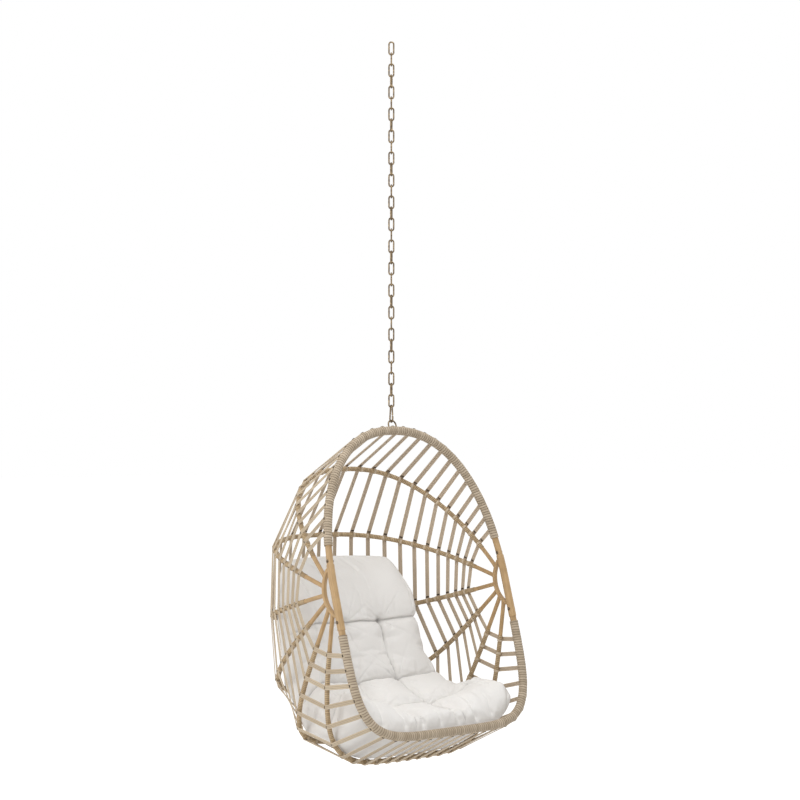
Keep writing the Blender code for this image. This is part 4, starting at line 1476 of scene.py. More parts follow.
@dataclass
class Straps:
    """Flat straps from the upper to the lower rim, over all the arches, turned once round each."""

    basket: Basket
    a_side: int = 12
    width: float = 0.0170
    thickness: float = 0.003
    seat: float = 0.0035
    clearance: float = 0.0003
    rim_spacing: tuple[float, float] = (0.738, 0.0)
    arch_spacings: tuple[tuple[float, float], ...] = (
        (0.816, 0.21),
        (0.818, 0.40),
        (0.802, 0.50),
        (0.823, 0.54),
        (0.80, -0.2),
        (0.80, -0.2),
    )
    strands: tuple[tuple[str, int, int], ...] = (
        ("left_outer", -12, -8),
        ("left_inner", -7, -3),
        ("middle", -2, 2),
        ("right_inner", 3, 7),
        ("right_outer", 8, 12),
    )
    side_gather: tuple[float, ...] = (0.010, 0.022, 0.034, 0.030, 0.020, 0.010)
    gathered_arches: int = 4
    tuck: float = -0.42
    seed: int = 5
    longest_run: float = 0.020
    turn_half_width: float = 0.0045
    turn_offset: float = 0.0052
    rim_staple: Triple = (0.0100, 0.0044, 0.0020)
    # Sizes of the dark blocks that paint the shade at each crossing, inside and outside.
    inside_shade_block: Triple = (0.0140, 0.0056, 0.0012)
    outside_shade_block: Triple = (0.0110, 0.0030, 0.0010)

    def share(self, index: int, spacing: tuple[float, float]) -> float:
        """Where a strap crosses a line, from -1 at its left end to 1 at its right end.

        Args:
            index: the strap, 0 in the middle and under 0 on the left.
            spacing: the outermost strap's place, and how far the others move out.

        Returns:
            The place.
        """
        end, bulge = spacing
        step = abs(index) / self.a_side
        return math.copysign(end * step * (1 + bulge * (1 - step)), index)

    def arch_share(self, index: int, number: int) -> float:
        """Where a strap crosses an arch; the side's straps cross the two lowest nearer to the hub.

        Args:
            index: the strap, 0 in the middle and under 0 on the left.
            number: the arch, 0 at the top.

        Returns:
            The place, from -1 to 1.
        """
        share = self.share(index, self.arch_spacings[number])
        place = self.a_side - abs(index)
        if number >= self.gathered_arches and place < len(self.side_gather):
            share += math.copysign(self.side_gather[place], index)
        return share

    def arch_stations(self, index: int, number: int) -> list[Seat]:
        """Where a strap lies on an arch: rows of (middle, across, outward), upper side first.

        Args:
            index: the strap, 0 in the middle and under 0 on the left.
            number: the arch, 0 at the top.

        Returns:
            The rows.
        """
        basket = self.basket
        outline = basket.arch_outline(number)
        lengths = lengths_of(outline)
        place = lengths[-1] / 2 * (1 + self.arch_share(index, number))
        point, direction = point_on(outline, lengths, place)
        normal = Vector((direction.y, -direction.x))
        normal = normal if normal.dot(point) > 0 else -normal
        across = basket.lifted(direction, number)
        outward = basket.lifted(normal, number)
        up = outward.cross(across).normalized()
        up = up if up.dot(basket.arch_normal(number)) > 0 else -up
        bar = basket.lifted(point, number)
        lift = basket.arch_radius + self.clearance + self.thickness / 2
        made = []
        for step in (1.0, 0.0, -1.0):
            lean = math.radians(13) * step
            out = (outward * math.cos(lean) + up * math.sin(lean)).normalized()
            middle = bar + out * (lift - 0.0004 * abs(step)) + up * self.seat * 0.6 * step
            made.append((middle, across, out))
        return made

    def rim_point(self, index: int, hoop: Hoop) -> Seat:
        """(centre of the rim, its direction to +X, its outward direction) where a strap meets it.

        Args:
            index: the strap, 0 in the middle and under 0 on the left.
            hoop: which hoop.

        Returns:
            The three vectors in the hub frame.
        """
        basket = self.basket
        share = self.share(index, self.rim_spacing)
        upper, whole = basket.upper_length, basket.whole_length
        if hoop is Hoop.UPPER:
            distance = upper / 2 * (1 + share)
        else:
            distance = upper + (whole - upper) / 2 * (1 - share)
        point, direction = point_on(basket.rim, basket.rim_lengths, distance)
        rightward = direction if direction.x > 0 else -direction
        outward = direction.cross(BACK).normalized()
        return point, rightward, outward if outward.dot(point) > 0 else -outward

    def rim_stations(self, index: int, hoop: Hoop, target: Vector) -> list[Seat]:
        """A strap's end round the rim's winding, from under it to where the strap leaves it.

        Args:
            index: the strap's number.
            hoop: the half of the rim.
            target: the strap's first place on an arch.

        Returns:
            (middle, across, outward) a few times, the tucked end first.
        """
        point, across, outward = self.rim_point(index, hoop)
        lift = self.basket.wrap_radius + self.clearance
        away = target - point
        out, behind = away.dot(outward), away.dot(BACK)
        leaves = math.atan2(behind, out) - math.acos(lift / math.hypot(out, behind))
        made = []
        for step in range(9):
            turn = leaves + (min(self.tuck, leaves - 0.5) - leaves) * (1 - step / 8)
            sunk = max(0.0, 1 - step / 2.5)
            radial = outward * math.cos(turn) + BACK * math.sin(turn)
            made.append((point + radial * (lift - 0.0042 * sunk), across, radial))
        return made

    def seats(self, index: int) -> list[Seat]:
        """Every place where a strap bears on a rim or an arch, from the upper to the lower rim.

        Args:
            index: the strap, 0 in the middle and under 0 on the left.

        Returns:
            The places in order.
        """
        middle: list[Seat] = []
        for number in range(len(self.basket.arches)):
            middle += self.arch_stations(index, number)
        upper = self.rim_stations(index, Hoop.UPPER, middle[0][0])
        lower = self.rim_stations(index, Hoop.LOWER, middle[-1][0])
        return upper + middle + lower[::-1]

    def line(self, index: int) -> Line:
        """The whole strap's line, from the upper to the lower rim.

        Args:
            index: the strap, 0 in the middle and under 0 on the left.

        Returns:
            The line.
        """
        seats = self.seats(index)
        lengths = lengths_of([middle for middle, _, _ in seats])
        rough = Line([Station(*seat, length) for seat, length in zip(seats, lengths)])
        stations: list[Station] = []
        for number, (low, high) in enumerate(zip(lengths, lengths[1:])):
            cuts = max(1, round((high - low) / self.longest_run))
            stations += [rough.at(number + cut / cuts) for cut in range(cuts)]
        return Line([*stations, rough.stations[-1]])

    def strap_stock(self, steps: int) -> BMesh:
        """Straight strap of three peels side by side, with its grooves marked.

        Args:
            steps: its length.

        Returns:
            The strap.
        """
        half, low, high = self.width / 2, self.thickness * 0.26, self.thickness / 2
        third = self.width / 3
        top = [(-half, low, 1.0)]
        for lobe in (-1, 0, 1):
            middle = lobe * third
            top += [(middle - third * 0.30, high, 1.0), (middle + third * 0.30, high, 1.0)]
            if lobe < 1:
                top.append((middle + third / 2, high * 0.55, 0.0))
        top.append((half, low, 1.0))
        outline = top + [(x, -y, height) for x, y, height in top[::-1]]
        bm = bmesh.new()
        crest = bm.verts.layers.float.new("crest")
        verts = drawn(bm, [(x, y, 0) for x, y, _ in outline], closed=True)
        # Crest 0 in the grooves between the peels, where the material paints shade.
        for vert, (_, _, height) in zip(verts, outline):
            vert[crest] = height
        return run_out(bm, steps)

    def turn_shape(self, index: int, number: int, chance: random.Random) -> BMesh:
        """The strap's turn round an arch, a little askew beside its crossing.

        Args:
            index: the strap's number.
            number: the arch's number.
            chance: where its unevenness comes from.

        Returns:
            The turn in the hub frame.
        """
        middle, across, outward = self.arch_stations(index, number)[1]
        lift = self.basket.arch_radius + self.clearance + self.thickness / 2
        offset = math.copysign(self.turn_offset, chance.random() - 0.5)
        centre = middle - outward * lift + across * offset
        axis = (across + outward.cross(across) * chance.uniform(-0.18, 0.18)).normalized()
        bm = bmesh.new()
        half = self.turn_half_width
        radius = self.basket.arch_radius + 0.0003
        foot, top = radius - 0.001, radius + 0.0015
        corners = [(foot, 0, -half), (top, 0, -half * 0.8), (top, 0, half * 0.8), (foot, 0, half)]
        drawn(bm, corners, closed=True)
        spun(bm, 12, angle=2 * math.pi, merged=True)
        crest = bm.verts.layers.float.new("crest")
        grain = bm.verts.layers.float_vector.new("grain")
        for vert in bm.verts:
            # The turn's inner face, against the arch, gets a low crest, so the material darkens it with
            # painted shade.
            vert[crest] = 1.0 if vert.co.xy.length > radius else 0.2
            vert[grain] = (vert.co.z, 0.0, math.atan2(vert.co.y, vert.co.x) * radius)
        bm.transform(aimed(axis, centre))
        return bm

    def strand_shape(self, first: int, last: int, chance: random.Random) -> BMesh:
        """Every strap of a strand with its turns, each strap with its own tone.

        Args:
            first: the strand's first strap.
            last: its last strap.
            chance: where its tones are drawn from.

        Returns:
            The straps as one mesh.
        """
        bm = bmesh.new()
        for index in range(first, last + 1):
            line = self.line(index)
            strap = bend(self.strap_stock(line.steps), line)
            for number in range(len(self.basket.arches)):
                poured(strap, self.turn_shape(index, number, chance))
            tone = strap.faces.layers.float.new("tone")
            shade = chance.random()
            for face in strap.faces:
                face[tone] = shade
            poured(bm, strap)
        return bm

    def flat_block(self, place: Vector, across: Vector, facing: Vector, size: Triple) -> BMesh:
        """One flat block, used for a staple on the rim and for a dark block of painted shade at a crossing.

        Args:
            place: its middle.
            across: the direction of its crown.
            facing: the direction that it faces.
            size: its length, width and thickness.

        Returns:
            The staple in the hub frame.
        """
        bm = bmesh.new()
        bmesh.ops.create_cube(bm, size=1.0)
        bmesh.ops.scale(bm, vec=size, verts=bm.verts)
        bmesh.ops.bevel(
            bm,
            geom=bm.edges[:],
            offset=0.0003,
            offset_type="OFFSET",
            segments=1,
            profile=0.5,
            affect="EDGES",
            material=-1,
        )
        turn = Matrix((across, facing.cross(across), facing)).transposed().to_4x4()
        bm.transform(Matrix.Translation(place) @ turn)
        return bm

    def staples_and_shade_blocks_shape(self) -> BMesh:
        """Staples over the straps' ends on the rim, and dark blocks that paint the shade behind each
        crossing and just above it inside.

        Returns:
            The staples as one mesh.
        """
        bm = bmesh.new()
        half = self.thickness / 2
        seat = half + 0.0003
        outermost = self.basket.wrap_radius + self.clearance + half + 0.0006
        for index in range(-self.a_side, self.a_side + 1):
            for hoop in Hoop:
                point, across, outward = self.rim_point(index, hoop)
                radial = (outward * math.cos(0.05) - BACK * math.sin(0.05)).normalized()
                poured(bm, self.flat_block(point + radial * outermost, across, radial, self.rim_staple))
            seats = self.seats(index)
            for number in range(len(self.basket.arches)):
                # Dark blocks on the strap's inner face just above the arch and on its outer face paint the
                # shade at the crossing.
                (before, _, _), (here, _, _), (over, across, out) = seats[8 + 3 * number : 11 + 3 * number]
                run = (before - here).normalized()
                facing = across.cross(run).normalized()
                facing = facing if facing.dot(out) < 0 else -facing
                place = here + run * 0.0125 + facing * seat
                poured(bm, self.flat_block(place, across, facing, self.inside_shade_block))
                poured(bm, self.flat_block(over + out * seat, across, out, self.outside_shade_block))
        return bm

    def build(self, peel: Material, metal: Material) -> None:
        """Make the five strands, the staples, and the dark blocks of painted shade at the crossings.

        Args:
            peel: the straps' material.
            metal: the material of the staples and of the shade blocks.
        """
        basket = self.basket
        chance = random.Random(self.seed)
        for word, first, last in self.strands:
            shape = self.strand_shape(first, last, chance)
            basket.add(f"{word}_straps", shape, peel, [f"{word}_weave_strand"], "strap_wicker", 60.0)
        basket.add("strap_staples", self.staples_and_shade_blocks_shape(), metal, slot="fastener_bronze")


# Cushion


@dataclass
class Cushion:
    """The tufted pad that lines the back and the seat."""

    basket: Basket
    stations: tuple[Triple, ...] = (
        (-84.0, 0.374, 0.100),
        (-58.8, 0.362, 0.195),
        (-36.9, 0.330, 0.220),
        (-4.8, 0.292, 0.275),
        (24.0, 0.300, 0.165),
    )
    shares: tuple[float, ...] = (0.0, 0.25, 0.45, 0.70, 1.0)
    seam_shares: tuple[float, ...] = (0.225, 0.435, 0.678)
    seam_column: float = 1 / 3
    back_edge: float = 0.64
    seat_edge: float = 0.97
    taper: float = 0.09
    side_bulge: float = 0.012
    clearance: float = 0.0006
    seam_depth: float = 0.018
    tuft_depth: float = 0.028
    slack: float = 0.008
    voxel: float = 0.0066
    pressure: float = 4.0
    cap: float = 0.028
    tuft_spread: float = 0.075
    front_tucks: float = 0.088
    front_pillow: float = 0.030
    row_groove: float = 0.0085
    column_groove: float = 0.0080
    side_groove: float = 0.0045
    groove_width: float = 0.0040
    tuft_pit: float = 0.014
    ray_depth: float = 0.0055
    tuck_depth: float = 0.011
    cells: tuple[int, int, int] = (48, 84, 8)

    def __post_init__(self) -> None:
        """Keep the stations as rows for interpolation."""
        self.angles, self.widths, self.depths = (list(row) for row in zip(*self.stations))

    def at(self, share: float, row: Sequence[float]) -> float:
        """One of the stations' rows at a share of the pad's length."""
        return float(np.interp(share, self.shares, row))

    def inner_reach(self, x: float, reach: float, squareness: float, bar: float) -> float:
        """How far from the hub axis the pad's back lies on one bar.

        Args:
            x: how far to the right.
            reach: the bar's reach in the middle.
            squareness: its curve's squareness.
            bar: its radius.

        Returns:
            The distance in metres.
        """
        inset = bar + self.clearance
        across = min(abs(x) / (self.basket.half_width - inset), 1.0)
        root = self.basket.arch_root
        return root + (reach - root - inset) * (1 - across**squareness) ** (1 / squareness)

    def wall_reach(self, x: float, angle: float) -> float:
        """The same at any angle in degrees: the back is taut from one bar to the next.

        Args:
            x: how far to the right.
            angle: degrees up from straight back.

        Returns:
            The distance in metres.
        """
        basket = self.basket
        bars = [(*arch, basket.arch_radius) for arch in basket.arches]
        bars.append((-90.0, basket.drop, basket.bottom_squareness, basket.wrap_radius))
        number = 1
        while number < len(bars) - 1 and bars[number][0] > angle:
            number += 1
        high, low = bars[number - 1], bars[number]
        near, far = self.inner_reach(x, *high[1:]), self.inner_reach(x, *low[1:])
        turns = (high[0] - angle, angle - low[0], high[0] - low[0])
        over, under, span = (math.radians(turn) for turn in turns)
        return near * far * math.sin(span) / (near * math.sin(over) + far * math.sin(under))

    def eased_reach(self, x: float, angle: float) -> float:
        """The wall's reach without its corners at the bars, which the pad's front doesn't show."""
        turns = (-20.0, -13.0, -6.5, 0.0, 6.5, 13.0, 20.0)
        return sum(self.wall_reach(x, angle + turn) for turn in turns) / len(turns)

    def valley(self, distance: float, width: float) -> float:
        """A smooth valley from 1 at its bottom to 0 well away from it."""
        return 1.0 / (1.0 + (distance / width) ** 2) ** 1.5

    def pad_point(self, across: float, along: float, through: float) -> Vector:
        """Map a cube's point, each from -1 to 1, to the hub frame; through 1 is the front.

        Args:
            across: to the right.
            along: from the front of the seat to the head.
            through: from the back to the front.

        Returns:
            The point.
        """
        share = (along + 1) / 2
        angle, half_width, depth = (self.at(share, row) for row in (self.angles, self.widths, self.depths))
        x = across * half_width * (1 - 0.20 * abs(across) ** 3 * (max(0.0, share - 0.80) / 0.20) ** 2)
        back = self.wall_reach(x, angle)
        crown = (1 - abs(across) ** 3) ** 0.5 * (1 - abs(along) ** 8) ** 0.5
        reach_scale = back * math.radians(1.0)
        rows = [abs(angle - self.at(s, self.angles)) * reach_scale for s in self.seam_shares]
        column = abs(abs(across) - self.seam_column) * half_width
        row = max(self.valley(distance, 0.034) for distance in rows)
        seam = row
        if share < self.seam_shares[-1] + 0.02:
            seam = max(seam, self.valley(column, 0.030))
        tuft = max(self.valley(math.hypot(distance, column), 0.036) for distance in rows)
        sag = self.seam_depth * seam + (self.tuft_depth - self.seam_depth) * tuft
        fullness = (through + 1) / 2
        seat = min(max((0.32 - share) / 0.14, 0.0), 1.0)
        edge = self.back_edge + (self.seat_edge - self.back_edge) * seat * seat * (3 - 2 * seat)
        pillow = math.sin(math.pi * min(share / self.seam_shares[0], 1.0))
        outer = max(0.0, (abs(across) - self.seam_column) / (1 - self.seam_column))
        depth += self.front_pillow * pillow * math.sin(math.pi * min(outer, 1.0)) ** 0.6
        depth = depth * (edge + (1 - edge) * crown) - self.slack * crown - sag * max(crown, 0.35)
        reach = back + (self.eased_reach(x, angle) - back - depth) * fullness
        x *= 1 - self.taper * fullness
        bulge = self.side_bulge * (1 - through**2)
        x += bulge * abs(across) ** 6 * math.copysign(1.0, across)
        angle += math.degrees(bulge / reach) * abs(along) ** 10 * math.copysign(1.0, along)
        x *= 1 - 0.028 * abs(across) ** 4 * row * fullness
        turn = math.radians(angle)
        return Vector((x, reach * math.cos(turn), reach * math.sin(turn)))

    def pad_shape(self) -> BMesh:
        """The slack pad as a closed shape in the hub frame.

        Returns:
            The pad.
        """
        bm = bmesh.new()
        bmesh.ops.create_cube(bm, size=2)
        for axis, faces in enumerate(self.cells):
            edges = [edge for edge in bm.edges if abs(edge.verts[0].co[axis] - edge.verts[1].co[axis]) > 1]
            bmesh.ops.subdivide_edges(bm, edges=edges, cuts=faces - 1, use_grid_fill=True)
        for vert in bm.verts:
            vert.co = self.pad_point(*vert.co)
        axes = {"use_axis_x": True, "use_axis_y": True, "use_axis_z": True}
        bmesh.ops.smooth_vert(bm, verts=bm.verts, factor=0.5, **axes)
        bmesh.ops.recalc_face_normals(bm, faces=bm.faces[:])
        return bm

    def remade(self, piece: Object, kind: str, **settings: object) -> None:
        """Apply one modifier to a piece's mesh.

        Args:
            piece: the object.
            kind: the modifier's type.
            **settings: the modifier's properties.
        """
        modifier = piece.modifiers.new(kind.lower(), kind)
        for name, value in settings.items():
            setattr(modifier, name, value)
        evaluated = piece.evaluated_get(bpy.context.evaluated_depsgraph_get())
        mesh = bpy.data.meshes.new_from_object(evaluated)
        piece.modifiers.clear()
        old, piece.data = piece.data, mesh
        bpy.data.meshes.remove(old)

    def points_of(self, piece: Object) -> np.ndarray:
        """A piece's points as rows of three numbers.

        Args:
            piece: the object.

        Returns:
            The rows.
        """
        points = np.zeros(len(piece.data.vertices) * 3, np.float32)
        piece.data.vertices.foreach_get("co", points)
        return points.reshape(-1, 3).astype(float)

    def charted(self, points: np.ndarray) -> dict[str, np.ndarray]:
        """Where points of the pad, in the hub frame, lie on it.

        Args:
            points: rows of three numbers.

        Returns:
            Arrays: how far across and along the pad, its half width and length there, how far from its
            back, the weight of its front, and the metres to its rows and columns of seams.
        """
        reach = np.hypot(points[:, 1], points[:, 2])
        angle = np.degrees(np.arctan2(points[:, 2], points[:, 1]))
        share = np.interp(angle, self.angles, self.shares)
        half = np.interp(share, self.shares, self.widths)
        depth = np.interp(share, self.shares, self.depths)
        wall = np.array([self.wall_reach(x, turn) for x, turn in zip(points[:, 0], angle)])
        fullness = np.clip((wall - reach) / depth, 0, 1)
        across = points[:, 0] / (half * (1 - self.taper * fullness))
        seam_angles = np.interp(self.seam_shares, self.shares, self.angles)
        rows = np.stack([(angle - turn) * np.radians(1.0) * reach for turn in seam_angles])
        column = (np.abs(across) - self.seam_column) * half
        return {
            "across": across,
            "share": share,
            "half": half,
            "length": np.radians(angle) * reach,
            "fullness": fullness,
            "front": np.clip((fullness - 0.15) / 0.25, 0, 1),
            "rows": rows,
            "column": column,
        }

    @staticmethod
    def groove(away: np.ndarray, width: float) -> np.ndarray:
        """A groove's depth, 1 in its middle, at a distance from it."""
        return np.exp(-((away / width) ** 2))

    @staticmethod
    def ripples(
        chart: dict[str, np.ndarray],
        x: np.ndarray,
        scales: tuple[float, float],
        layer: float,
        shift: float = 0.0,
    ) -> np.ndarray:
        """Smooth noise over the pad.

        Args:
            chart: where the points lie.
            x: the points' own x.
            scales: ripples in a metre across and along.
            layer: which of many patterns.
            shift: how far the pattern is moved across.

        Returns:
            One number for each point.
        """
        across, along = scales
        grid = zip(x, chart["length"])
        return np.array([noise.noise(Vector((a * across + shift, b * along, layer))) for a, b in grid])

    def puff(self, piece: Object) -> None:
        """Fill the pad by cloth simulation, with its back and its seams held.

        Args:
            piece: the remeshed pad in the hub frame.
        """
        rest = self.points_of(piece)
        chart = self.charted(rest)
        near_row = np.abs(chart["rows"]).min(axis=0)
        near_column = np.where(chart["share"] < self.seam_shares[-1] + 0.01, np.abs(chart["column"]), 1.0)
        front = chart["fullness"] > 0.28
        seam = front & ((near_row < 0.007) | (near_column < 0.006))
        held = ~front | seam
        group = piece.vertex_groups.new(name="held")
        group.add(np.flatnonzero(held).tolist(), 1.0, "REPLACE")
        cloth = piece.modifiers.new("cloth", "CLOTH")
        settings = {
            "vertex_group_mass": "held",
            "use_pressure": True,
            "uniform_pressure_force": self.pressure,
            "quality": 4,
            "mass": 0.25,
            "tension_stiffness": 10.0,
            "compression_stiffness": 6.0,
            "shear_stiffness": 4.0,
            "bending_stiffness": 0.15,
            "shrink_min": -0.025,
        }
        for name, value in settings.items():
            setattr(cloth.settings, name, value)
        cloth.settings.effector_weights.gravity = 0.0
        cloth.collision_settings.use_collision = False
        scene = bpy.context.scene
        for step in range(1, 21):
            scene.frame_set(step)
        evaluated = piece.evaluated_get(bpy.context.evaluated_depsgraph_get())
        blown = np.zeros(len(rest) * 3, np.float32)
        evaluated.data.vertices.foreach_get("co", blown)
        moved = blown.reshape(-1, 3).astype(float) - rest
        lengths = np.maximum(np.linalg.norm(moved, axis=1), 1e-9)
        moved *= (self.cap * np.tanh(lengths / self.cap) / lengths)[:, None]
        piece.modifiers.clear()
        scene.frame_set(1)
        piece.data.vertices.foreach_set("co", (rest + moved).astype(np.float32).ravel())
        piece.data.update()
        LOG.info("cushion: %d points moved by up to %.1f mm", len(rest), 1000 * lengths.max())

    def creases(self, points: np.ndarray) -> np.ndarray:
        """How far seams, gathers and folds move each point along its normal.

        Args:
            points: the points in the hub frame.

        Returns:
            One number in metres for each point.
        """
        chart = self.charted(points)
        across, share, half, rows = (chart[name] for name in ("across", "share", "half", "rows"))
        x = points[:, 0]
        wobble = self.ripples(chart, x, (9, 9), 3.0)
        ripple_x = self.ripples(chart, x, (46, 7), 0.0, 11)
        ripple_y = self.ripples(chart, x, (7, 46), 7.0)
        width = self.groove_width
        drop = np.zeros(len(points))
        for number, row in enumerate(rows):
            away = np.abs(row + 0.004 * wobble)
            drop -= self.row_groove * self.groove(away, width)
            gathers = 0.0026 * ripple_x * np.exp(-away / 0.034) * (1 - np.exp(-away / 0.004))
            drop += gathers * (1.25 if number != 2 else 0.8)
        below = np.clip((self.seam_shares[-1] + 0.004 - share) / 0.01, 0, 1)
        away = np.abs(chart["column"] + 0.004 * wobble)
        drop -= self.column_groove * self.groove(away, width) * below
        drop += 0.0022 * ripple_y * np.exp(-away / 0.030) * (1 - np.exp(-away / 0.004)) * below
        for sign in (-1, 1):
            for number, row in enumerate(rows):
                column = self.seam_column * half * (1 - self.taper * chart["fullness"])
                drop -= self.tuft((x * sign - column) * sign, row, number, sign)
        lip = np.clip(1 - share / 0.16, 0, 1)
        folds = self.ripples(chart, x, (27, 3.5), 2.0, 4.0)
        drop += 0.0085 * folds * np.sin(np.pi * lip) + 0.004 * folds * lip
        tuck = np.mod((x + 0.014 * wobble) / self.front_tucks, 1.0)
        away = self.front_tucks * np.minimum(tuck, 1 - tuck)
        drop -= self.tuck_depth * self.groove(away, 0.011) * np.clip(1.15 - share / 0.15, 0, 1)
        side = np.abs(np.abs(across) - 0.90) * half
        edge = (share > 0.06) & (share < 0.985)
        drop -= np.where(edge, self.side_groove * self.groove(side, width), 0.0)
        drop += np.where(edge, 0.0022 * ripple_y * np.exp(-side / 0.025), 0.0)
        drop += 0.0020 * self.ripples(chart, x, (14, 11), 21.0)
        return drop * chart["front"]

    def tuft(self, side: np.ndarray, row: np.ndarray, number: int, sign: int) -> np.ndarray:
        """How deep a tuft draws the cloth in: a pit, and folds that run out from it.

        Args:
            side: metres across from the tuft.
            row: metres along from it.
            number: its row.
            sign: its side.

        Returns:
            One number in metres for each point.
        """
        radius, turn = np.hypot(side, row), np.arctan2(row, side)
        layer = 5.0 * number + sign
        rays = np.array([noise.noise(Vector((math.cos(t) * 2.6, math.sin(t) * 2.6, layer))) for t in turn])
        spokes = np.maximum(0, np.cos(turn * 9 + 2.2 * number + sign + 5 * rays)) ** 4
        fade = np.exp(-radius / self.tuft_spread) * (1 - np.exp(-radius / 0.014))
        return self.ray_depth * spokes * fade + self.tuft_pit * self.groove(radius, 0.014)

    def seam_shading(self, points: np.ndarray) -> np.ndarray:
        """How near each point is to a sewn seam and to a tuft's pit, from 0 to 1, which sets the shade
        painted there.

        Args:
            points: the points in the hub frame.

        Returns:
            One number for each point.
        """
        chart = self.charted(points)
        wobble = self.ripples(chart, points[:, 0], (9, 9), 3.0)
        rows = np.abs(chart["rows"] + 0.004 * wobble).min(axis=0)
        panels = chart["share"] < self.seam_shares[-1] + 0.004
        column = np.where(panels, np.abs(chart["column"] + 0.004 * wobble), 1.0)
        tufts = np.hypot(np.abs(chart["rows"]).min(axis=0), column)
        seams = 0.9 * self.groove(np.minimum(rows, column), 0.0019)
        return np.maximum(seams, self.groove(tufts, 0.007)) * chart["front"]

    def build(self, finish: Material) -> None:
        """Make, fill, sew and finish the cushion.

        Args:
            finish: the cloth's material.
        """
        piece = add_piece("tufted_cushion", self.pad_shape(), finish, BASKET_BODY)
        self.remade(piece, "REMESH", mode="VOXEL", voxel_size=self.voxel, use_smooth_shade=True)
        self.puff(piece)
        self.remade(piece, "SUBSURF", levels=1, render_levels=1)
        points = self.points_of(piece)
        normals = np.zeros(len(points) * 3, np.float32)
        piece.data.vertices.foreach_get("normal", normals)
        # The painted shade of the seams and tuft pits, which the cloth's material reads.
        stitch = piece.data.attributes.new("stitch", "FLOAT", "POINT")
        stitch.data.foreach_set("value", self.seam_shading(points).astype(np.float32))
        points += normals.reshape(-1, 3) * self.creases(points)[:, None]
        piece.data.vertices.foreach_set("co", points.astype(np.float32).ravel())
        piece.data.transform(self.basket.from_hub)
        piece.data.materials.clear()
        piece.data.materials.append(finish)
        piece.data.shade_smooth()
        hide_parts("seat_cushion")
        LOG.info("%s: %d faces", piece.name, len(piece.data.polygons))


# Studio


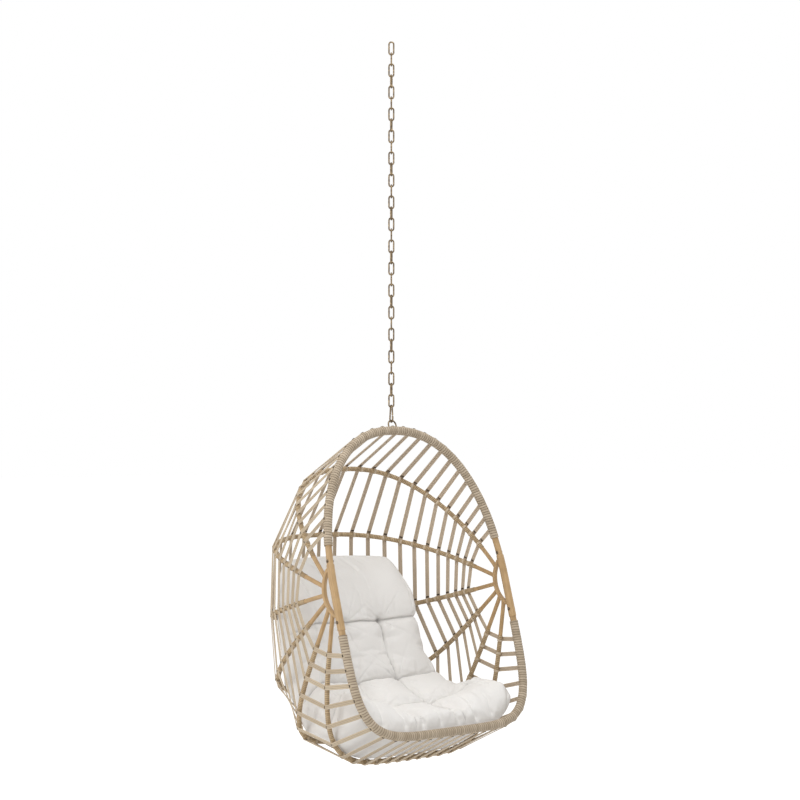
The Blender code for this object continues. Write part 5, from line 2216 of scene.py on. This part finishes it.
@dataclass
class Studio:
    """Floor, backdrop, soft light and the camera."""

    rim_top: Vector
    floor_height: float = -3.2
    floor_grey: float = 0.94
    floor_glow: float = 0.6
    sky: Triple = (1.0, 0.995, 0.985)
    sky_strength: float = 0.50
    lens: float = 90.0
    azimuth: float = 41.14
    pitch: float = 0.94
    aim: Triple = (0.0, 0.1, -2.05)
    lamps: tuple[tuple[str, Triple, float, float], ...] = (
        ("key", (-3.4, -3.2, 1.1), 2.2, 90.0),
        ("fill", (3.8, -3.0, -0.6), 3.0, 16.0),
        ("side", (-4.2, 1.2, -1.2), 2.6, 60.0),
        ("top", (0.4, -0.6, 1.8), 2.2, 68.0),
    )

    @staticmethod
    def node(tree: NodeTree, kind: str, *inputs: NodeSocket | None) -> Node:
        """Add a node to a tree, with sockets linked to its first inputs; None leaves one as it is.

        Args:
            tree: the tree.
            kind: the node's type, without its prefix.
            *inputs: the sockets.

        Returns:
            The node.
        """
        made = tree.nodes.new(f"ShaderNode{kind}")
        for number, socket in enumerate(inputs):
            if socket is not None:
                tree.links.new(socket, made.inputs[number])
        return made

    def seen(self, tree: NodeTree) -> NodeSocket:
        """1 for the camera's rays, and for those that left glossy or clear surfaces.

        Args:
            tree: the tree to add the nodes to.

        Returns:
            The socket that holds it.
        """
        path = self.node(tree, "LightPath")
        rays = path.outputs["Is Camera Ray"]
        for name in ("Is Glossy Ray", "Is Transmission Ray"):
            more = self.node(tree, "Math", rays, path.outputs[name])
            more.operation = "MAXIMUM"
            rays = more.outputs[0]
        return rays

    def build_world(self) -> None:
        """An even, slightly warm sky that the camera sees as white."""
        world = bpy.data.worlds.new("studio")
        bpy.context.scene.world = world
        world.use_nodes = True
        tree = world.node_tree
        background = tree.nodes["Background"]
        background.inputs["Color"].default_value = (*self.sky, 1)
        background.inputs["Strength"].default_value = self.sky_strength
        white = self.node(tree, "Background")
        white.inputs["Color"].default_value = WHITE
        mix = self.node(tree, "MixShader", self.seen(tree), background.outputs[0], white.outputs[0])
        tree.links.new(mix.outputs[0], tree.nodes["World Output"].inputs["Surface"])

    def floor_material(self) -> Material:
        """Pale grey that glows a little to the camera, so that it looks white round the shadow.

        Returns:
            The material.
        """
        material = bpy.data.materials.new("pale_floor")
        material.use_nodes = True
        tree = material.node_tree
        tree.nodes.clear()
        diffuse = self.node(tree, "BsdfDiffuse")
        diffuse.inputs["Color"].default_value = (self.floor_grey, self.floor_grey, self.floor_grey, 1)
        strength = self.node(tree, "Math", self.seen(tree))
        strength.operation = "MULTIPLY"
        strength.inputs[1].default_value = self.floor_glow
        glow = self.node(tree, "Emission", None, strength.outputs[0])
        both = self.node(tree, "AddShader", diffuse.outputs[0], glow.outputs[0])
        self.node(tree, "OutputMaterial", both.outputs[0])
        return material

    def build_floor(self) -> None:
        """A wide pale floor that keeps the chair's shadow."""
        bm = bmesh.new()
        bmesh.ops.create_grid(bm, x_segments=1, y_segments=1, size=60.0)
        bmesh.ops.translate(bm, vec=(0, 0, self.floor_height), verts=bm.verts)
        mesh = bpy.data.meshes.new("floor")
        bm.to_mesh(mesh)
        bm.free()
        mesh.materials.append(self.floor_material())
        floor = bpy.data.objects.new("floor", mesh)
        bpy.context.scene.collection.objects.link(floor)

    def add_lamp(self, name: str, place: Vector, size: float, power: float) -> None:
        """A square soft lamp.

        Args:
            name: its name.
            place: where it hangs.
            size: the length of its side.
            power: its power in watts.
        """
        light = bpy.data.lights.new(name, "AREA")
        light.shape = "SQUARE"
        light.size = size
        light.energy = power
        lamp = bpy.data.objects.new(name, light)
        lamp.location = place
        lamp.rotation_euler = (Vector(self.aim) - place).to_track_quat("-Z", "Y").to_euler()
        bpy.context.scene.collection.objects.link(lamp)

    def build_camera(self) -> None:
        """The photograph's view: level with the rim's top, from the front left."""
        camera = bpy.data.cameras.new("camera")
        camera.lens = self.lens
        camera.sensor_width = 36.0
        camera.clip_end = 200.0
        holder = bpy.data.objects.new("camera", camera)
        holder.location = (-4.978, -5.737 + self.rim_top.y, self.rim_top.z - 0.008)
        turn, tilt = math.radians(self.azimuth), math.radians(self.pitch)
        level = math.cos(tilt)
        forward = Vector((math.sin(turn) * level, math.cos(turn) * level, math.sin(tilt)))
        holder.rotation_euler = forward.to_track_quat("-Z", "Y").to_euler()
        bpy.context.scene.collection.objects.link(holder)
        bpy.context.scene.camera = holder

    def build(self) -> None:
        """Set up the whole studio."""
        bpy.context.scene.view_settings.view_transform = "Standard"
        self.build_camera()
        self.build_world()
        self.build_floor()
        for name, place, size, power in self.lamps:
            self.add_lamp(name, Vector(place), size, power)


def main() -> None:
    """Build the studio and the chair, piece by piece."""
    logging.basicConfig(level=logging.INFO, format="%(name)s: %(message)s")
    chain = Chain()
    hook = SnapHook(chain.last_wire)
    loop_wire, loop_clearance = 0.006, 0.0006
    pivot = chain.last_wire + hook.foot + (hook.wire + loop_wire) / 2 + loop_clearance
    basket = Basket(pivot)
    Studio(basket.from_hub @ Vector((0, 0, basket.rise))).build()

    link_bronze = AgedBronze("link_bronze").material()
    hook_bronze = AgedBronze("hook_bronze_finish", roughness=0.33).material()
    dark_metal = AgedBronze("fastener_finish", (0.12, 0.085, 0.055), (0.28, 0.21, 0.13), 0.42).material()
    paint = CanePaint("cane_paint").material()
    # The third colour of each peel is the shade painted into its grooves.
    wound = (30.0, 30.0, 900.0)
    rim_tones = (0.545, 0.452, 0.340), (0.36, 0.287, 0.200), (0.13, 0.092, 0.060)
    arch_tones = (0.57, 0.430, 0.260), (0.37, 0.260, 0.145), (0.08, 0.050, 0.026)
    rim_peel = Peel("rim_peel", *rim_tones, wound).material()
    arch_peel = Peel("arch_peel", *arch_tones, wound).material()
    strap_peel = Peel(
        "strap_peel",
        (0.60, 0.495, 0.355),
        (0.42, 0.335, 0.235),
        (0.16, 0.115, 0.075),
        (900.0, 60.0, 22.0),
        inner=(0.57, 0.465, 0.355),
    ).material()

    chain.build(link_bronze)
    hook.build(hook_bronze, SpringSteel().material())
    RodLoop(basket, loop_wire).build(hook_bronze)
    Rim(basket).build(paint, rim_peel)
    for side in Side:
        HubBracket(basket, side).build(paint, dark_metal)
    Arches(basket).build(paint, arch_peel)
    Straps(basket).build(strap_peel, StapleAndShadeBlack().material())
    Cushion(basket).build(Canvas().material())


if __name__ == "__main__":
    main()
